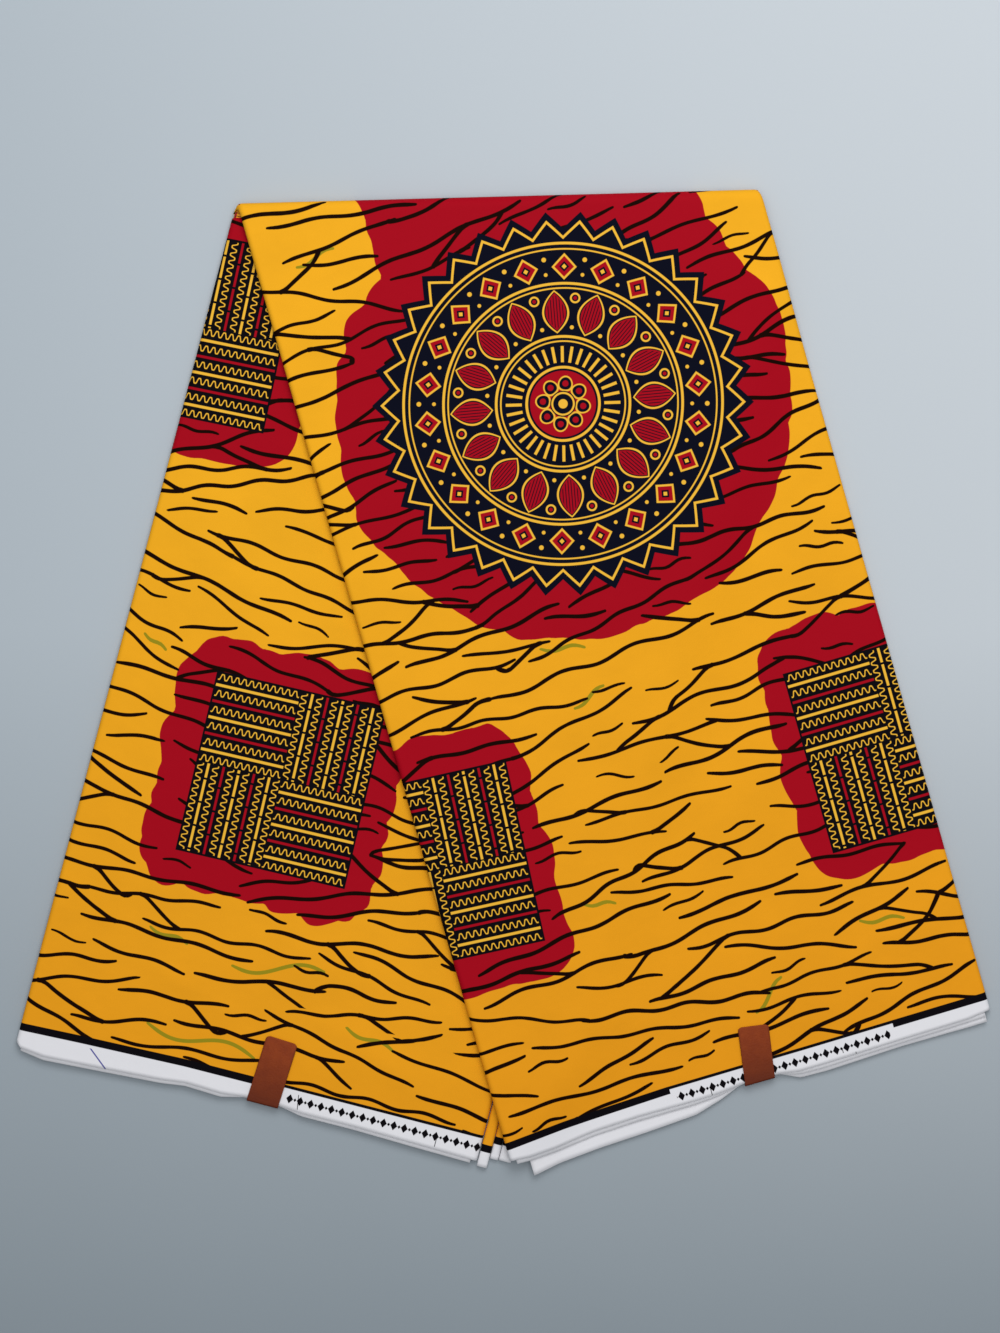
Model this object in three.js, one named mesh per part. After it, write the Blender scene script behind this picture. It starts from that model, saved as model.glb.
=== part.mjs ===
import * as THREE from 'three';

// A long printed cotton cloth, folded lengthwise to a strip, then folded once over a skewed line
// and laid flat. The strip opens into a V, with the front half lying partly on the back half.
// Millimetres, Z up, underside on Z = 0.

// Strip and main fold
const stripWidth = 328;
const foldSkew = THREE.MathUtils.degToRad(15.3);
const foldTilt = THREE.MathUtils.degToRad(0.6);
const bundleThickness = 6.2;
const clothWall = 1;
const seamGap = 0.3;
const neutralFoldRadius = 5.5;
const innerFoldHeight = 0.6;
const foldRise = Math.tan(THREE.MathUtils.degToRad(0.95));
const foldRiseRun = 450;

// Side edges, where the visible layer turns down over the hidden ones
const edgeRadius = 3.3;
const edgeHem = 0.6;

// Beyond the right edge of the back half the front half comes down to the floor
const overhangStart = 18;
const cornerOverhangStart = -10;
const cornerFrom = 480;
const cornerTo = 560;
const overhangRun = 46;

// Shelves near the selvedges, in which the loose layers lie
const frontShelf = 604;
const backShelf = 524;
const frontLip = { top: 2.3, end: 631 };
const backLip = { top: 3.6, step: 545, lowTop: 2, end: 554 };
const stepRun = 0.2;
const droopRun = 45;
const endDroop = 0.7;
const labelPinch = 0.6;
const pinchWidth = 26;
const pinchRun = 36;

// Visible selvedges of the front half: distance from the fold's left end, along the strip
const frontSelvedge = [
  { across: 0, face: 647.5, upperLeaf: 650.5, lowerLeaf: 661.5 },
  { across: 14, face: 648.8, upperLeaf: 651.2, lowerLeaf: 661.5 },
  { across: 31, face: 648, upperLeaf: 650.4, lowerLeaf: 658.5 },
  { across: 58, face: 644.4, upperLeaf: 647.4, lowerLeaf: 656.3 },
  { across: 88, face: 643.2, upperLeaf: 646, lowerLeaf: 655 },
  { across: 125, face: 643.4, upperLeaf: 645.8, lowerLeaf: 652.7 },
  { across: 143, face: 643, upperLeaf: 644.6, lowerLeaf: 647.6 },
  { across: 158, face: 641.2, upperLeaf: 641.8, lowerLeaf: 641.8 },
  { across: 184, face: 641.2, upperLeaf: 641.8, lowerLeaf: 641.8 },
  { across: 197, face: 643.4, upperLeaf: 645.4, lowerLeaf: 648 },
  { across: 214, face: 643.2, upperLeaf: 645.8, lowerLeaf: 648.4 },
  { across: 265, face: 641.8, upperLeaf: 644, lowerLeaf: 646.4 },
  { across: 312, face: 640.8, upperLeaf: 643, lowerLeaf: 646.4 },
  { across: 328, face: 638.8, upperLeaf: 642.4, lowerLeaf: 646 },
];

// The same for the back half
const backSelvedge = [
  { across: 0, face: 568.6, leaf: 570.6 },
  { across: 4, face: 571.8, leaf: 573.6 },
  { across: 20, face: 573.6, leaf: 576 },
  { across: 62, face: 571, leaf: 573.4 },
  { across: 98, face: 568.6, leaf: 571 },
  { across: 114, face: 566.6, leaf: 568.8 },
  { across: 138, face: 567.4, leaf: 569.8 },
  { across: 153, face: 565.6, leaf: 566.2 },
  { across: 178, face: 565.6, leaf: 566.2 },
  { across: 192, face: 566.8, leaf: 568.8 },
  { across: 225, face: 566.4, leaf: 568.6 },
  { across: 272, face: 567.2, leaf: 569.6 },
  { across: 310, face: 567.8, leaf: 570.2 },
];

// Labels clipped round the edge stack: middle of the top leg, its size, its lean and its outer end
const frontLabelSpec = { sign: 1, across: 173.4, width: 20, length: 36.8, lean: -8.5, end: 643.4 };
const backLabelSpec = { sign: -1, across: 166.6, width: 21, length: 44.4, lean: -2.8, end: 567.8 };
const labelWall = 1;
const labelBend = 0.5;
const labelReturn = 6;
const labelCorner = 2;

// Folded layers that fan out beside the lower right corner of the back half
const backFaceRight = 310.2;
const backFaceStart = 3;
const pleatStart = 504;
const notchRun = 1;
const pleatTable = [
  { name: 'centre_pleat_1', left: 310.8, right: 317.6, top: 5, end: 571 },
  { name: 'centre_pleat_2', left: 317.9, right: 323.5, top: 4, end: 564.3 },
  { name: 'centre_pleat_3', left: 323.8, right: 332, top: 4.6, end: 563.8 },
];
const pleatRows = [0, 0.5, 0.8, 1];
const pleatEndShare = 0.8;
const pleatRounding = 2.2;

// Columns across the strip, and rows down each half as shares of its length
const frontColumns = [3.3, 14, 31, 52, 72, 94, 118, 140, 156, 171, 186, 204, 226, 250, 274, 296];
const backColumns = [3.3, 14, 31, 52, 72, 94, 118, 140, 154, 166, 178, 196, 220, 246, 272, 296];
const frontSteps = [0.04, 0.1, 0.16, 0.22, 0.28, 0.34, 0.4, 0.46, 0.52, 0.58, 0.64, 0.7, 0.76, 0.82, 0.88, 0.94, 1];
const backSteps = [0.17, 0.34, 0.5, 0.66, 0.83, 1];
const selvedgeRows = [1 / 3, 2 / 3, 1];
const foldTurns = 8;
const edgeTurns = 3;

// Sides of the hidden layers: folds that show as rounded ridges between grooves
const layerProfile = [
  { inset: 0, level: 0.58 },
  { inset: 0, level: 0.5 },
  { inset: 0.9, level: 0.45 },
  { inset: 0.1, level: 0.39 },
  { inset: 0.1, level: 0.27 },
  { inset: 0.9, level: 0.22 },
  { inset: 0.1, level: 0.16 },
  { inset: 0.4, level: 0 },
];

const sinSkew = Math.sin(foldSkew);
const cosSkew = Math.cos(foldSkew);
const outerFoldRadius = bundleThickness + seamGap / 2;
const coverDepth = clothWall + seamGap;
const foldArc = Math.PI * neutralFoldRadius;

function mix(a, b, t) {
  return a + (b - a) * t;
}

function ease(t) {
  return THREE.MathUtils.smoothstep(t, 0, 1);
}

// Straight-line reading of a table column at a distance across the strip
function readTable(table, column, across) {
  const next = table.findIndex((row) => row.across > across);
  if (next < 0) return table.at(-1)[column];
  if (next === 0) return table[0][column];
  const low = table[next - 1];
  const high = table[next];
  return mix(low[column], high[column], (across - low.across) / (high.across - low.across));
}

// Distances along the strip count from the fold, positive on the front half, negative on the back
function foldStart(across) {
  return (across * sinSkew + outerFoldRadius) / cosSkew;
}

function foldEnd(across) {
  return foldStart(across) - foldArc / cosSkew;
}

// How far the upper layers sink near a selvedge and round a label
function settle(across, along) {
  const label = along > 0 ? frontLabelSpec : backLabelSpec;
  const toEnd = label.end - Math.abs(along);
  const offset = (across - label.across) / pinchWidth;
  const pinch = labelPinch * Math.exp(-offset * offset) * ease(1 - toEnd / pinchRun);
  return -endDroop * ease(1 - toEnd / droopRun) - pinch;
}

function overhangDrop(side, forward) {
  const downBack = -side * sinSkew - forward * cosSkew;
  const cornerShare = ease((downBack - cornerFrom) / (cornerTo - cornerFrom));
  const start = stripWidth + mix(overhangStart, cornerOverhangStart, cornerShare);
  const beyond = side * cosSkew - forward * sinSkew - start;
  return (bundleThickness + seamGap) * ease(beyond / overhangRun);
}

// Folds a point of the flat strip round the main fold, whose right end lies a little further up. Height counts through the bundle from the
// side that lies inside the fold, share is the part of the settling that the point follows.
function place(across, along, height, share = 1) {
  const side = along * sinSkew + across * cosSkew;
  const over = across * sinSkew - along * cosSkew + outerFoldRadius;
  const turn = THREE.MathUtils.clamp(over / neutralFoldRadius, 0, Math.PI);
  const radius = seamGap / 2 + height;
  const run = over < 0 ? over : Math.min(0, foldArc - over);
  const forward = radius * Math.sin(turn) + run - outerFoldRadius;
  const drop = over < 0 ? overhangDrop(side, forward) : 0;
  const rise = outerFoldRadius + radius * Math.cos(turn) - drop + share * settle(across, along);
  const slant = side * foldRise * Math.max(0, 1 + forward / foldRiseRun);
  return new THREE.Vector3(side, forward + slant, rise);
}

// Height of a layer that lies at a depth below the visible skin of one half
function layerHeight(sign, depth) {
  return sign > 0 ? bundleThickness - depth : depth;
}

// Signed volume decides whether a closed body has to be turned the right way out
function outward(geometry) {
  const points = geometry.attributes.position;
  const index = geometry.index.array;
  const [a, b, c] = [new THREE.Vector3(), new THREE.Vector3(), new THREE.Vector3()];
  let volume = 0;
  for (let i = 0; i < index.length; i += 3) {
    a.fromBufferAttribute(points, index[i]);
    b.fromBufferAttribute(points, index[i + 1]);
    c.fromBufferAttribute(points, index[i + 2]);
    volume += a.dot(b.cross(c));
  }
  if (volume < 0) index.reverse();
  return geometry;
}

// Share of a diagonal's plan length that runs along the right edge of the back half
function edgeShare(a, b) {
  const plan = Math.hypot(b.x - a.x, b.y - a.y) + 0.01;
  return Math.abs((b.x - a.x) * sinSkew + (b.y - a.y) * cosSkew) / plan;
}

// Two triangles over a four-sided patch. Stacked layers must break along the same diagonal.
function patchFaces(points, a, b, c, d) {
  if (edgeShare(points[b], points[c]) > edgeShare(points[a], points[d])) return [[a, c, b], [b, c, d]];
  return [[a, c, d], [a, d, b]];
}

// Closed body through equal rings of points, with triangles over the first and last ring
function loftRings(rings, startCap, endCap = startCap) {
  const size = rings[0].length;
  const last = (rings.length - 1) * size;
  const points = rings.flat();
  const faces = [];
  for (let i = 0; i < rings.length - 1; i += 1) {
    for (let j = 0; j < size; j += 1) {
      const a = i * size + j;
      const b = i * size + ((j + 1) % size);
      faces.push(...patchFaces(points, a, b, a + size, b + size));
    }
  }
  startCap.forEach(([a, b, c]) => faces.push([a, b, c]));
  endCap.forEach(([a, b, c]) => faces.push([last + a, last + c, last + b]));
  const geometry = new THREE.BufferGeometry().setFromPoints(points);
  geometry.setIndex(faces.flat());
  return outward(geometry);
}

// Triangles over a ring made of an outer row and an inner row of equal length
function stripCap(count) {
  const faces = [];
  for (let i = 0; i < count - 1; i += 1) {
    const opposite = 2 * count - 1 - i;
    faces.push([i, i + 1, opposite], [i + 1, opposite - 1, opposite]);
  }
  return faces;
}

function wallFromRows(rows) {
  const rings = rows.map(({ outer, inner }) => [...outer, ...inner.slice().reverse()]);
  return loftRings(rings, stripCap(rows[0].outer.length));
}

// Triangles over a run of upright points, wound as the run goes
function uprightFaces(ring, picked, sign) {
  const contour = picked.map((i) => new THREE.Vector2(ring[i].x * cosSkew + sign * ring[i].y * sinSkew, ring[i].z));
  const turn = Math.sign(THREE.ShapeUtils.area(contour));
  return THREE.ShapeUtils.triangulateShape(contour, []).map((face) => {
    const sameTurn = Math.sign(THREE.ShapeUtils.area(face.map((i) => contour[i]))) === turn;
    return (sameTurn ? face : face.slice().reverse()).map((i) => picked[i]);
  });
}

// Cap over a ring of the hidden layers: a strip between its flat rows, and a grooved end at each side
function layerCap(ring, sideCount, sign) {
  const flatCount = ring.length / 2 - sideCount;
  const last = ring.length - 1;
  const left = [last, ...Array.from({ length: sideCount + 1 }, (_, i) => i)];
  const rightStart = sideCount + flatCount - 1;
  const right = Array.from({ length: sideCount + 2 }, (_, i) => rightStart + i);
  const faces = [...uprightFaces(ring, left, sign), ...uprightFaces(ring, right, sign)];
  for (let i = 0; i < flatCount - 1; i += 1) {
    const a = sideCount + i;
    faces.push([a, a + 1, last - i], [a + 1, last - i - 1, last - i]);
  }
  return faces;
}

// Quarter turn of a covering layer from the flat of the strip down to its hem
function edgeTurn(depth) {
  const radius = edgeRadius - depth;
  const points = Array.from({ length: edgeTurns }, (_, i) => {
    const angle = ((i + 1) / edgeTurns) * (Math.PI / 2);
    return { inset: edgeRadius - radius * Math.sin(angle), depth: edgeRadius - radius * Math.cos(angle) };
  });
  return [...points, { inset: depth, depth: edgeRadius + edgeHem }];
}

// Flat part of a row, closed off by two columns that keep to its right edge
function columnsTo(columns, right) {
  const last = right - edgeRadius;
  return [...columns, mix(columns.at(-1), last, 0.5), last];
}

function coverProfile(columns, right, depth) {
  const turn = edgeTurn(depth);
  return [
    ...turn.slice().reverse().map((point) => ({ across: point.inset, depth: point.depth })),
    ...columnsTo(columns, right).map((across) => ({ across, depth })),
    ...turn.map((point) => ({ across: right - point.inset, depth: point.depth })),
  ];
}

// One row of a visible layer, as its outer and inner points across the strip
function coverRow(columns, sign, { alongAt, right }) {
  const at = ({ across, depth }) => place(across, alongAt(across), layerHeight(sign, depth));
  return {
    outer: coverProfile(columns, right, 0).map(at),
    inner: coverProfile(columns, right, clothWall).map(at),
  };
}

// A row is the distance along the strip at each point across it, and where its right edge lies
function fullRow(alongAt) {
  return { alongAt, right: stripWidth };
}

function narrowRow(alongAt) {
  return { alongAt, right: backFaceRight };
}

// Rows over the main fold, from the floor at the back up to the front half
function foldRows() {
  return Array.from({ length: foldTurns + 1 }, (_, i) => {
    return fullRow((across) => mix(foldEnd(across), foldStart(across), i / foldTurns));
  });
}

function frontRows() {
  return frontSteps.map((step) => fullRow((across) => mix(foldStart(across), frontShelf, step)));
}

function backRows() {
  const full = backSteps.map((step) => fullRow((across) => mix(foldEnd(across), -pleatStart, step)));
  return [...full, narrowRow(() => -pleatStart - notchRun), narrowRow(() => -backShelf)];
}

function selvedgeAlong(sign, shelf, table) {
  return selvedgeRows.map((step) => (across) => sign * mix(shelf, readTable(table, 'face', across), step));
}

function frontFace() {
  const ends = selvedgeAlong(1, frontShelf, frontSelvedge).map(fullRow);
  const rows = [...foldRows(), ...frontRows(), ...ends];
  return wallFromRows(rows.map((row) => coverRow(frontColumns, 1, row)));
}

function backFace() {
  const start = fullRow((across) => foldEnd(across) - backFaceStart);
  const ends = selvedgeAlong(-1, backShelf, backSelvedge).map(narrowRow);
  const rows = [start, ...backRows(), ...ends];
  return wallFromRows(rows.map((row) => coverRow(backColumns, -1, row)));
}

// Loose selvedge layer in the shelf at a depth below the visible skin, reaching out past it
function leaf({ columns, sign, shelf, table, edge, depth }) {
  const start = () => sign * (shelf + stepRun + seamGap);
  const end = (across) => sign * readTable(table, edge, across);
  const rows = [start, ...selvedgeAlong(sign, shelf, table), end];
  const row = (alongAt, height) => columns.map((across) => place(across, alongAt(across), height));
  return wallFromRows(rows.map((alongAt) => ({
    outer: row(alongAt, layerHeight(sign, depth)),
    inner: row(alongAt, layerHeight(sign, depth + clothWall)),
  })));
}

function leafColumns(columns, left, right) {
  return [left, ...columnsTo(columns, right).filter((across) => across > left + 2), right];
}

function coreSide(thickness) {
  const radius = Math.min(edgeRadius - coverDepth, thickness * 0.4);
  const turns = Array.from({ length: edgeTurns - 1 }, (_, i) => {
    const angle = ((i + 1) / edgeTurns) * (Math.PI / 2);
    return { inset: radius * (1 - Math.sin(angle)), level: 1 - (radius * (1 - Math.cos(angle))) / thickness };
  });
  return [...turns, ...layerProfile];
}

// Ring through the hidden layers. Cover is the height of the side that the visible layer lies on,
// base that of the other side. Points run from the inside of the fold round by its outside.
function coreRing(columns, { alongAt, right }, base, cover) {
  const side = coreSide(Math.abs(cover - base));
  const at = (across, level) => place(across, alongAt(across), mix(base, cover, level), level);
  const leftPoints = side.map(({ inset, level }) => at(coverDepth + inset, level));
  const rightPoints = side.map(({ inset, level }) => at(right - coverDepth - inset, level));
  const flat = columnsTo(columns, right);
  const coverPoints = flat.map((across) => at(across, 1));
  const basePoints = flat.map((across) => at(across, 0));
  if (cover > base) return [...leftPoints.reverse(), ...coverPoints, ...rightPoints, ...basePoints.reverse()];
  return [...leftPoints, ...basePoints, ...rightPoints.reverse(), ...coverPoints.reverse()];
}

function frontCoreRings() {
  const cover = bundleThickness - coverDepth;
  const ring = (row, base, top) => coreRing(frontColumns, row, base, top);
  const lipRow = (along) => ring(fullRow(() => along), 0, frontLip.top);
  return [
    ring(fullRow((across) => foldEnd(across) - seamGap), innerFoldHeight, cover),
    ...foldRows().slice(1).map((row) => ring(row, innerFoldHeight, cover)),
    ...frontRows().map((row) => ring(row, 0, cover)),
    lipRow(frontShelf + stepRun),
    lipRow(mix(frontShelf, frontLip.end, 0.5)),
    lipRow(frontLip.end),
  ];
}

function backCoreRings() {
  const ring = (row, top) => coreRing(backColumns, row, bundleThickness, bundleThickness - top);
  const lipRow = (along, top) => ring(narrowRow(() => -along), top);
  const cover = bundleThickness - coverDepth;
  return [
    lipRow(backLip.end, backLip.lowTop),
    lipRow(backLip.step + stepRun, backLip.lowTop),
    lipRow(backLip.step, backLip.top),
    lipRow(backShelf + stepRun, backLip.top),
    ...backRows().reverse().map((row) => ring(row, cover)),
    ring(fullRow((across) => foldEnd(across) - clothWall), cover),
  ];
}

function innerLayers() {
  const rings = [...backCoreRings(), ...frontCoreRings()];
  const sideCount = edgeTurns - 1 + layerProfile.length;
  return loftRings(rings, layerCap(rings[0], sideCount, -1), layerCap(rings.at(-1), sideCount, 1));
}

function pleatSection({ left, right, top }, share) {
  const peak = top * share;
  const radius = Math.min(pleatRounding, peak * 0.6);
  const arc = Array.from({ length: 4 }, (_, i) => (i / 3) * (Math.PI / 2));
  const height = (angle) => peak - radius * (1 - Math.cos(angle));
  const inset = (angle) => radius * (1 - Math.sin(angle));
  return [
    { across: left + 0.4, rise: 0 },
    { across: left, rise: 0.6 },
    ...arc.slice().reverse().map((angle) => ({ across: left + inset(angle), rise: height(angle) })),
    ...arc.map((angle) => ({ across: right - inset(angle), rise: height(angle) })),
    { across: right, rise: 0.6 },
    { across: right - 0.4, rise: 0 },
  ];
}

function pleat(spec) {
  const start = pleatStart + notchRun + seamGap;
  const rings = pleatRows.map((step) => {
    const share = mix(1, pleatEndShare, step * step);
    const along = -mix(start, spec.end, step);
    return pleatSection(spec, share).map(({ across, rise }) => place(across, along, bundleThickness - rise, 0));
  });
  const cap = Array.from({ length: rings[0].length - 2 }, (_, i) => [0, i + 1, i + 2]);
  return loftRings(rings, cap);
}

// Label path: top leg on the cloth, bend round the edges, short return on the floor
function labelPath({ length }) {
  const top = [0, 0.07, 0.3, 0.6, 0.85].map((share) => ({ kind: 'top', back: length * (1 - share) }));
  const turns = Array.from({ length: 4 }, (_, i) => (i / 3) * (Math.PI / 2));
  const upper = turns.map((angle) => ({ kind: 'upper', angle }));
  const lower = turns.map((angle) => ({ kind: 'lower', angle: angle + Math.PI / 2 }));
  return [...top, ...upper, ...lower, { kind: 'floor', back: labelReturn }];
}

// Point of a label at a distance across it, on its inner side or moved out by its wall
function labelPoint(spec, step, offset, out) {
  const lean = Math.tan(THREE.MathUtils.degToRad(spec.lean));
  const radius = labelBend + out;
  const bendCentre = -labelWall - labelBend;
  const fromEnd = step.kind === 'upper' || step.kind === 'lower' ? bendCentre + radius * Math.sin(step.angle) : -step.back;
  const skew = (lean * offset * fromEnd) / spec.length;
  const across = spec.across + offset + (fromEnd + spec.length / 2) * lean;
  const point = place(across, spec.sign * (spec.end + fromEnd + skew), layerHeight(spec.sign, -seamGap - out));
  if (step.kind === 'upper') point.z += radius * (Math.cos(step.angle) - 1);
  if (step.kind === 'lower') point.z = labelWall + labelBend + radius * Math.cos(step.angle);
  if (step.kind === 'floor') point.z = labelWall - out;
  return point;
}

function label(spec) {
  const half = spec.width / 2;
  const rows = labelPath(spec).map((step, i) => {
    const reach = i === 0 ? half - labelCorner : half;
    const offsets = [-1, -0.5, 0, 0.5, 1].map((share) => share * reach);
    const row = (out) => offsets.map((offset) => labelPoint(spec, step, offset, out));
    return { outer: row(labelWall), inner: row(0) };
  });
  return wallFromRows(rows);
}

const printedCotton = { color: 0xe9a21e, roughness: 0.72, metalness: 0 };
const plainSelvedge = { color: 0xdcdce0, roughness: 0.8, metalness: 0 };
const brownLeather = { color: 0x8c4426, roughness: 0.5, metalness: 0 };

const leafLeft = 4.2;
const lowerLeafLeft = 12.6;
const leafRight = 323.8;
const frontLeaf = { sign: 1, shelf: frontShelf, table: frontSelvedge };
const backLeaf = { sign: -1, shelf: backShelf, table: backSelvedge };

const upperLeafSpec = {
  ...frontLeaf,
  columns: leafColumns(frontColumns, leafLeft, leafRight),
  edge: 'upperLeaf',
  depth: coverDepth,
};
const lowerLeafSpec = {
  ...frontLeaf,
  columns: leafColumns(frontColumns, lowerLeafLeft, leafRight),
  edge: 'lowerLeaf',
  depth: 2 * coverDepth,
};
const backLeafSpec = {
  ...backLeaf,
  columns: leafColumns(backColumns, leafLeft, backFaceRight - leafLeft),
  edge: 'leaf',
  depth: coverDepth,
};

const pieces = [
  ['inner_layers', innerLayers(), printedCotton],
  ['front_face', frontFace(), printedCotton],
  ['back_face', backFace(), printedCotton],
  ['front_leaf_upper', leaf(upperLeafSpec), plainSelvedge],
  ['front_leaf_lower', leaf(lowerLeafSpec), plainSelvedge],
  ['back_leaf', leaf(backLeafSpec), plainSelvedge],
  ...pleatTable.map((spec) => [spec.name, pleat(spec), printedCotton]),
  ['front_label', label(frontLabelSpec), brownLeather],
  ['back_label', label(backLabelSpec), brownLeather],
];

// The shared frame has its origin at the middle of the bottom
const bounds = new THREE.Box3();
pieces.forEach(([, geometry]) => {
  geometry.rotateZ(foldTilt);
  geometry.computeBoundingBox();
  bounds.union(geometry.boundingBox);
});
const centre = bounds.getCenter(new THREE.Vector3());

const cloth = new THREE.Group();
cloth.name = 'folded_cloth';
pieces.forEach(([name, geometry, finish]) => {
  geometry.translate(-centre.x, -centre.y, -bounds.min.z);
  const mesh = new THREE.Mesh(geometry, new THREE.MeshStandardMaterial(finish));
  mesh.name = name;
  cloth.add(mesh);
});

export default cloth;
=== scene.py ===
import math

import bmesh
import bpy
import numpy as np
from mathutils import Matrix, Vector, kdtree, noise


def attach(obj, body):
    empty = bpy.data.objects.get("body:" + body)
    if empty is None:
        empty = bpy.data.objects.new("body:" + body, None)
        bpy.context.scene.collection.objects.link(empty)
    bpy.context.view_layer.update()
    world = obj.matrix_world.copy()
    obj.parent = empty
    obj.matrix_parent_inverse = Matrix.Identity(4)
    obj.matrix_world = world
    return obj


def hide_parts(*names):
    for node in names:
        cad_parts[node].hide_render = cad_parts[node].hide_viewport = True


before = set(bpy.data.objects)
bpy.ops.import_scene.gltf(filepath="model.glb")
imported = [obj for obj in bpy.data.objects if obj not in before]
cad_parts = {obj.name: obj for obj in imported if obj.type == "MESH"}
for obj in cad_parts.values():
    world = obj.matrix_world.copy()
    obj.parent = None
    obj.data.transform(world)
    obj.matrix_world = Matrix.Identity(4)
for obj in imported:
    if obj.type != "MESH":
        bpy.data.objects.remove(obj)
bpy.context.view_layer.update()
print("nodes", sorted(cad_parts))


# %% [markdown]
# Colours are written as a dyer's chart would give them, as sRGB hex. Shaders count in linear light,
# so one function turns a hex value to the numbers that a socket needs.
# %% Colour and node helpers
def colour(code):
    """Linear red, green, blue and alpha of an sRGB hex value."""
    channels = [int(code[i:i + 2], 16) / 255 for i in (0, 2, 4)]
    return [c / 12.92 if c <= 0.04045 else ((c + 0.055) / 1.055) ** 2.4 for c in channels] + [1]


def put(tree, kind, *values, out=0, **settings):
    """Adds a node. A kind in capitals is a Math operation. A value is a number or a link."""
    node = tree.nodes.new("ShaderNodeMath" if kind.isupper() else "ShaderNode" + kind)
    if kind.isupper():
        node.operation = kind
    for name, setting in settings.items():
        setattr(node, name, setting)
    named = values[0].items() if values and isinstance(values[0], dict) else enumerate(values)
    for socket, value in named:
        if isinstance(value, bpy.types.NodeSocket):
            tree.links.new(value, node.inputs[socket])
        else:
            node.inputs[socket].default_value = value
    return node.outputs[out] if node.outputs else None


def new_material(name):
    """A material with an empty node tree, and that tree."""
    material = bpy.data.materials.new(name)
    material.use_nodes = True
    material.node_tree.nodes.clear()
    return material, material.node_tree


# %% [markdown]
# The strip. A point of the cloth is told by how far across the strip it lies, how far along it from
# the fold (positive on the front half, negative on the back half), and its height in the bundle.
# One function folds such a point round the main fold, as the solids in the frame are folded, so
# every layer follows its neighbours. Lengths are in millimetres here, and metres in the meshes.
# %% Sizes of the folded strip
STRIP_WIDTH = 328.0
FOLD_SKEW = math.radians(15.3)
FOLD_TILT = math.radians(0.6)
FOLD_CORNER = (-173.06, 311.83)
BUNDLE = 6.2
SEAM_GAP = 0.3
NEUTRAL_RADIUS = 5.5
FOLD_RISE = math.tan(math.radians(0.95))
FOLD_RISE_RUN = 450.0
SIN, COS = math.sin(FOLD_SKEW), math.cos(FOLD_SKEW)
OUTER_RADIUS = BUNDLE + SEAM_GAP / 2
FOLD_ARC = math.pi * NEUTRAL_RADIUS
FRONT_LABEL = {"sign": 1, "across": 173.4, "width": 20.0, "length": 36.8, "lean": -8.5, "end": 643.4}
BACK_LABEL = {"sign": -1, "across": 166.6, "width": 21.0, "length": 44.4, "lean": -2.8, "end": 567.8}
SINK = {"depth": 0.7, "reach": 45.0}
GRIP = {"depth": 0.6, "reach": 36.0, "spread": 26.0}
OVERHANG = {"above": 18.0, "below": -10.0, "change": 480.0, "change_run": 80.0, "slope_run": 46.0}


def mix(a, b, t):
    return a + (b - a) * t


def ease(t):
    t = np.clip(t, 0, 1)
    return t * t * (3 - 2 * t)


def fold_start(across):
    return (across * SIN + OUTER_RADIUS) / COS


def fold_end(across):
    return fold_start(across) - FOLD_ARC / COS


def settle(across, along):
    """How far the upper layers sink near a selvedge, and where a label grips them."""
    total = np.zeros_like(along)
    for half, label in ((along > 0, FRONT_LABEL), (along <= 0, BACK_LABEL)):
        to_end = label["end"] - np.abs(along)
        grip = np.exp(-((across - label["across"]) / GRIP["spread"]) ** 2) * ease(1 - to_end / GRIP["reach"])
        sunk = -SINK["depth"] * ease(1 - to_end / SINK["reach"])
        total = np.where(half, sunk - GRIP["depth"] * grip, total)
    return total


def overhang_drop(side, forward):
    """The front half comes down to the floor beyond the right edge of the back half."""
    down_back = -side * SIN - forward * COS
    lower = ease((down_back - OVERHANG["change"]) / OVERHANG["change_run"])
    start = STRIP_WIDTH + mix(OVERHANG["above"], OVERHANG["below"], lower)
    return (BUNDLE + SEAM_GAP) * ease((side * COS - forward * SIN - start) / OVERHANG["slope_run"])


def place(across, along, height, share=1.0):
    """Points of the flat strip, folded, in metres."""
    across, along, height = np.broadcast_arrays(*(np.asarray(x, float) for x in (across, along, height)))
    side = along * SIN + across * COS
    over = across * SIN - along * COS + OUTER_RADIUS
    turn = np.clip(over / NEUTRAL_RADIUS, 0, math.pi)
    radius = SEAM_GAP / 2 + height
    run = np.where(over < 0, over, np.minimum(0, FOLD_ARC - over))
    forward = radius * np.sin(turn) + run - OUTER_RADIUS
    drop = np.where(over < 0, overhang_drop(side, forward), 0)
    rise = OUTER_RADIUS + radius * np.cos(turn) - drop + share * settle(across, along)
    y = forward + side * FOLD_RISE * np.maximum(0, 1 + forward / FOLD_RISE_RUN)
    tilt = (math.cos(FOLD_TILT), math.sin(FOLD_TILT))
    return np.stack([side * tilt[0] - y * tilt[1] + FOLD_CORNER[0],
                     side * tilt[1] + y * tilt[0] + FOLD_CORNER[1], rise], -1) / 1000


print("fold's left end", place(0, 6.0, BUNDLE))

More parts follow.
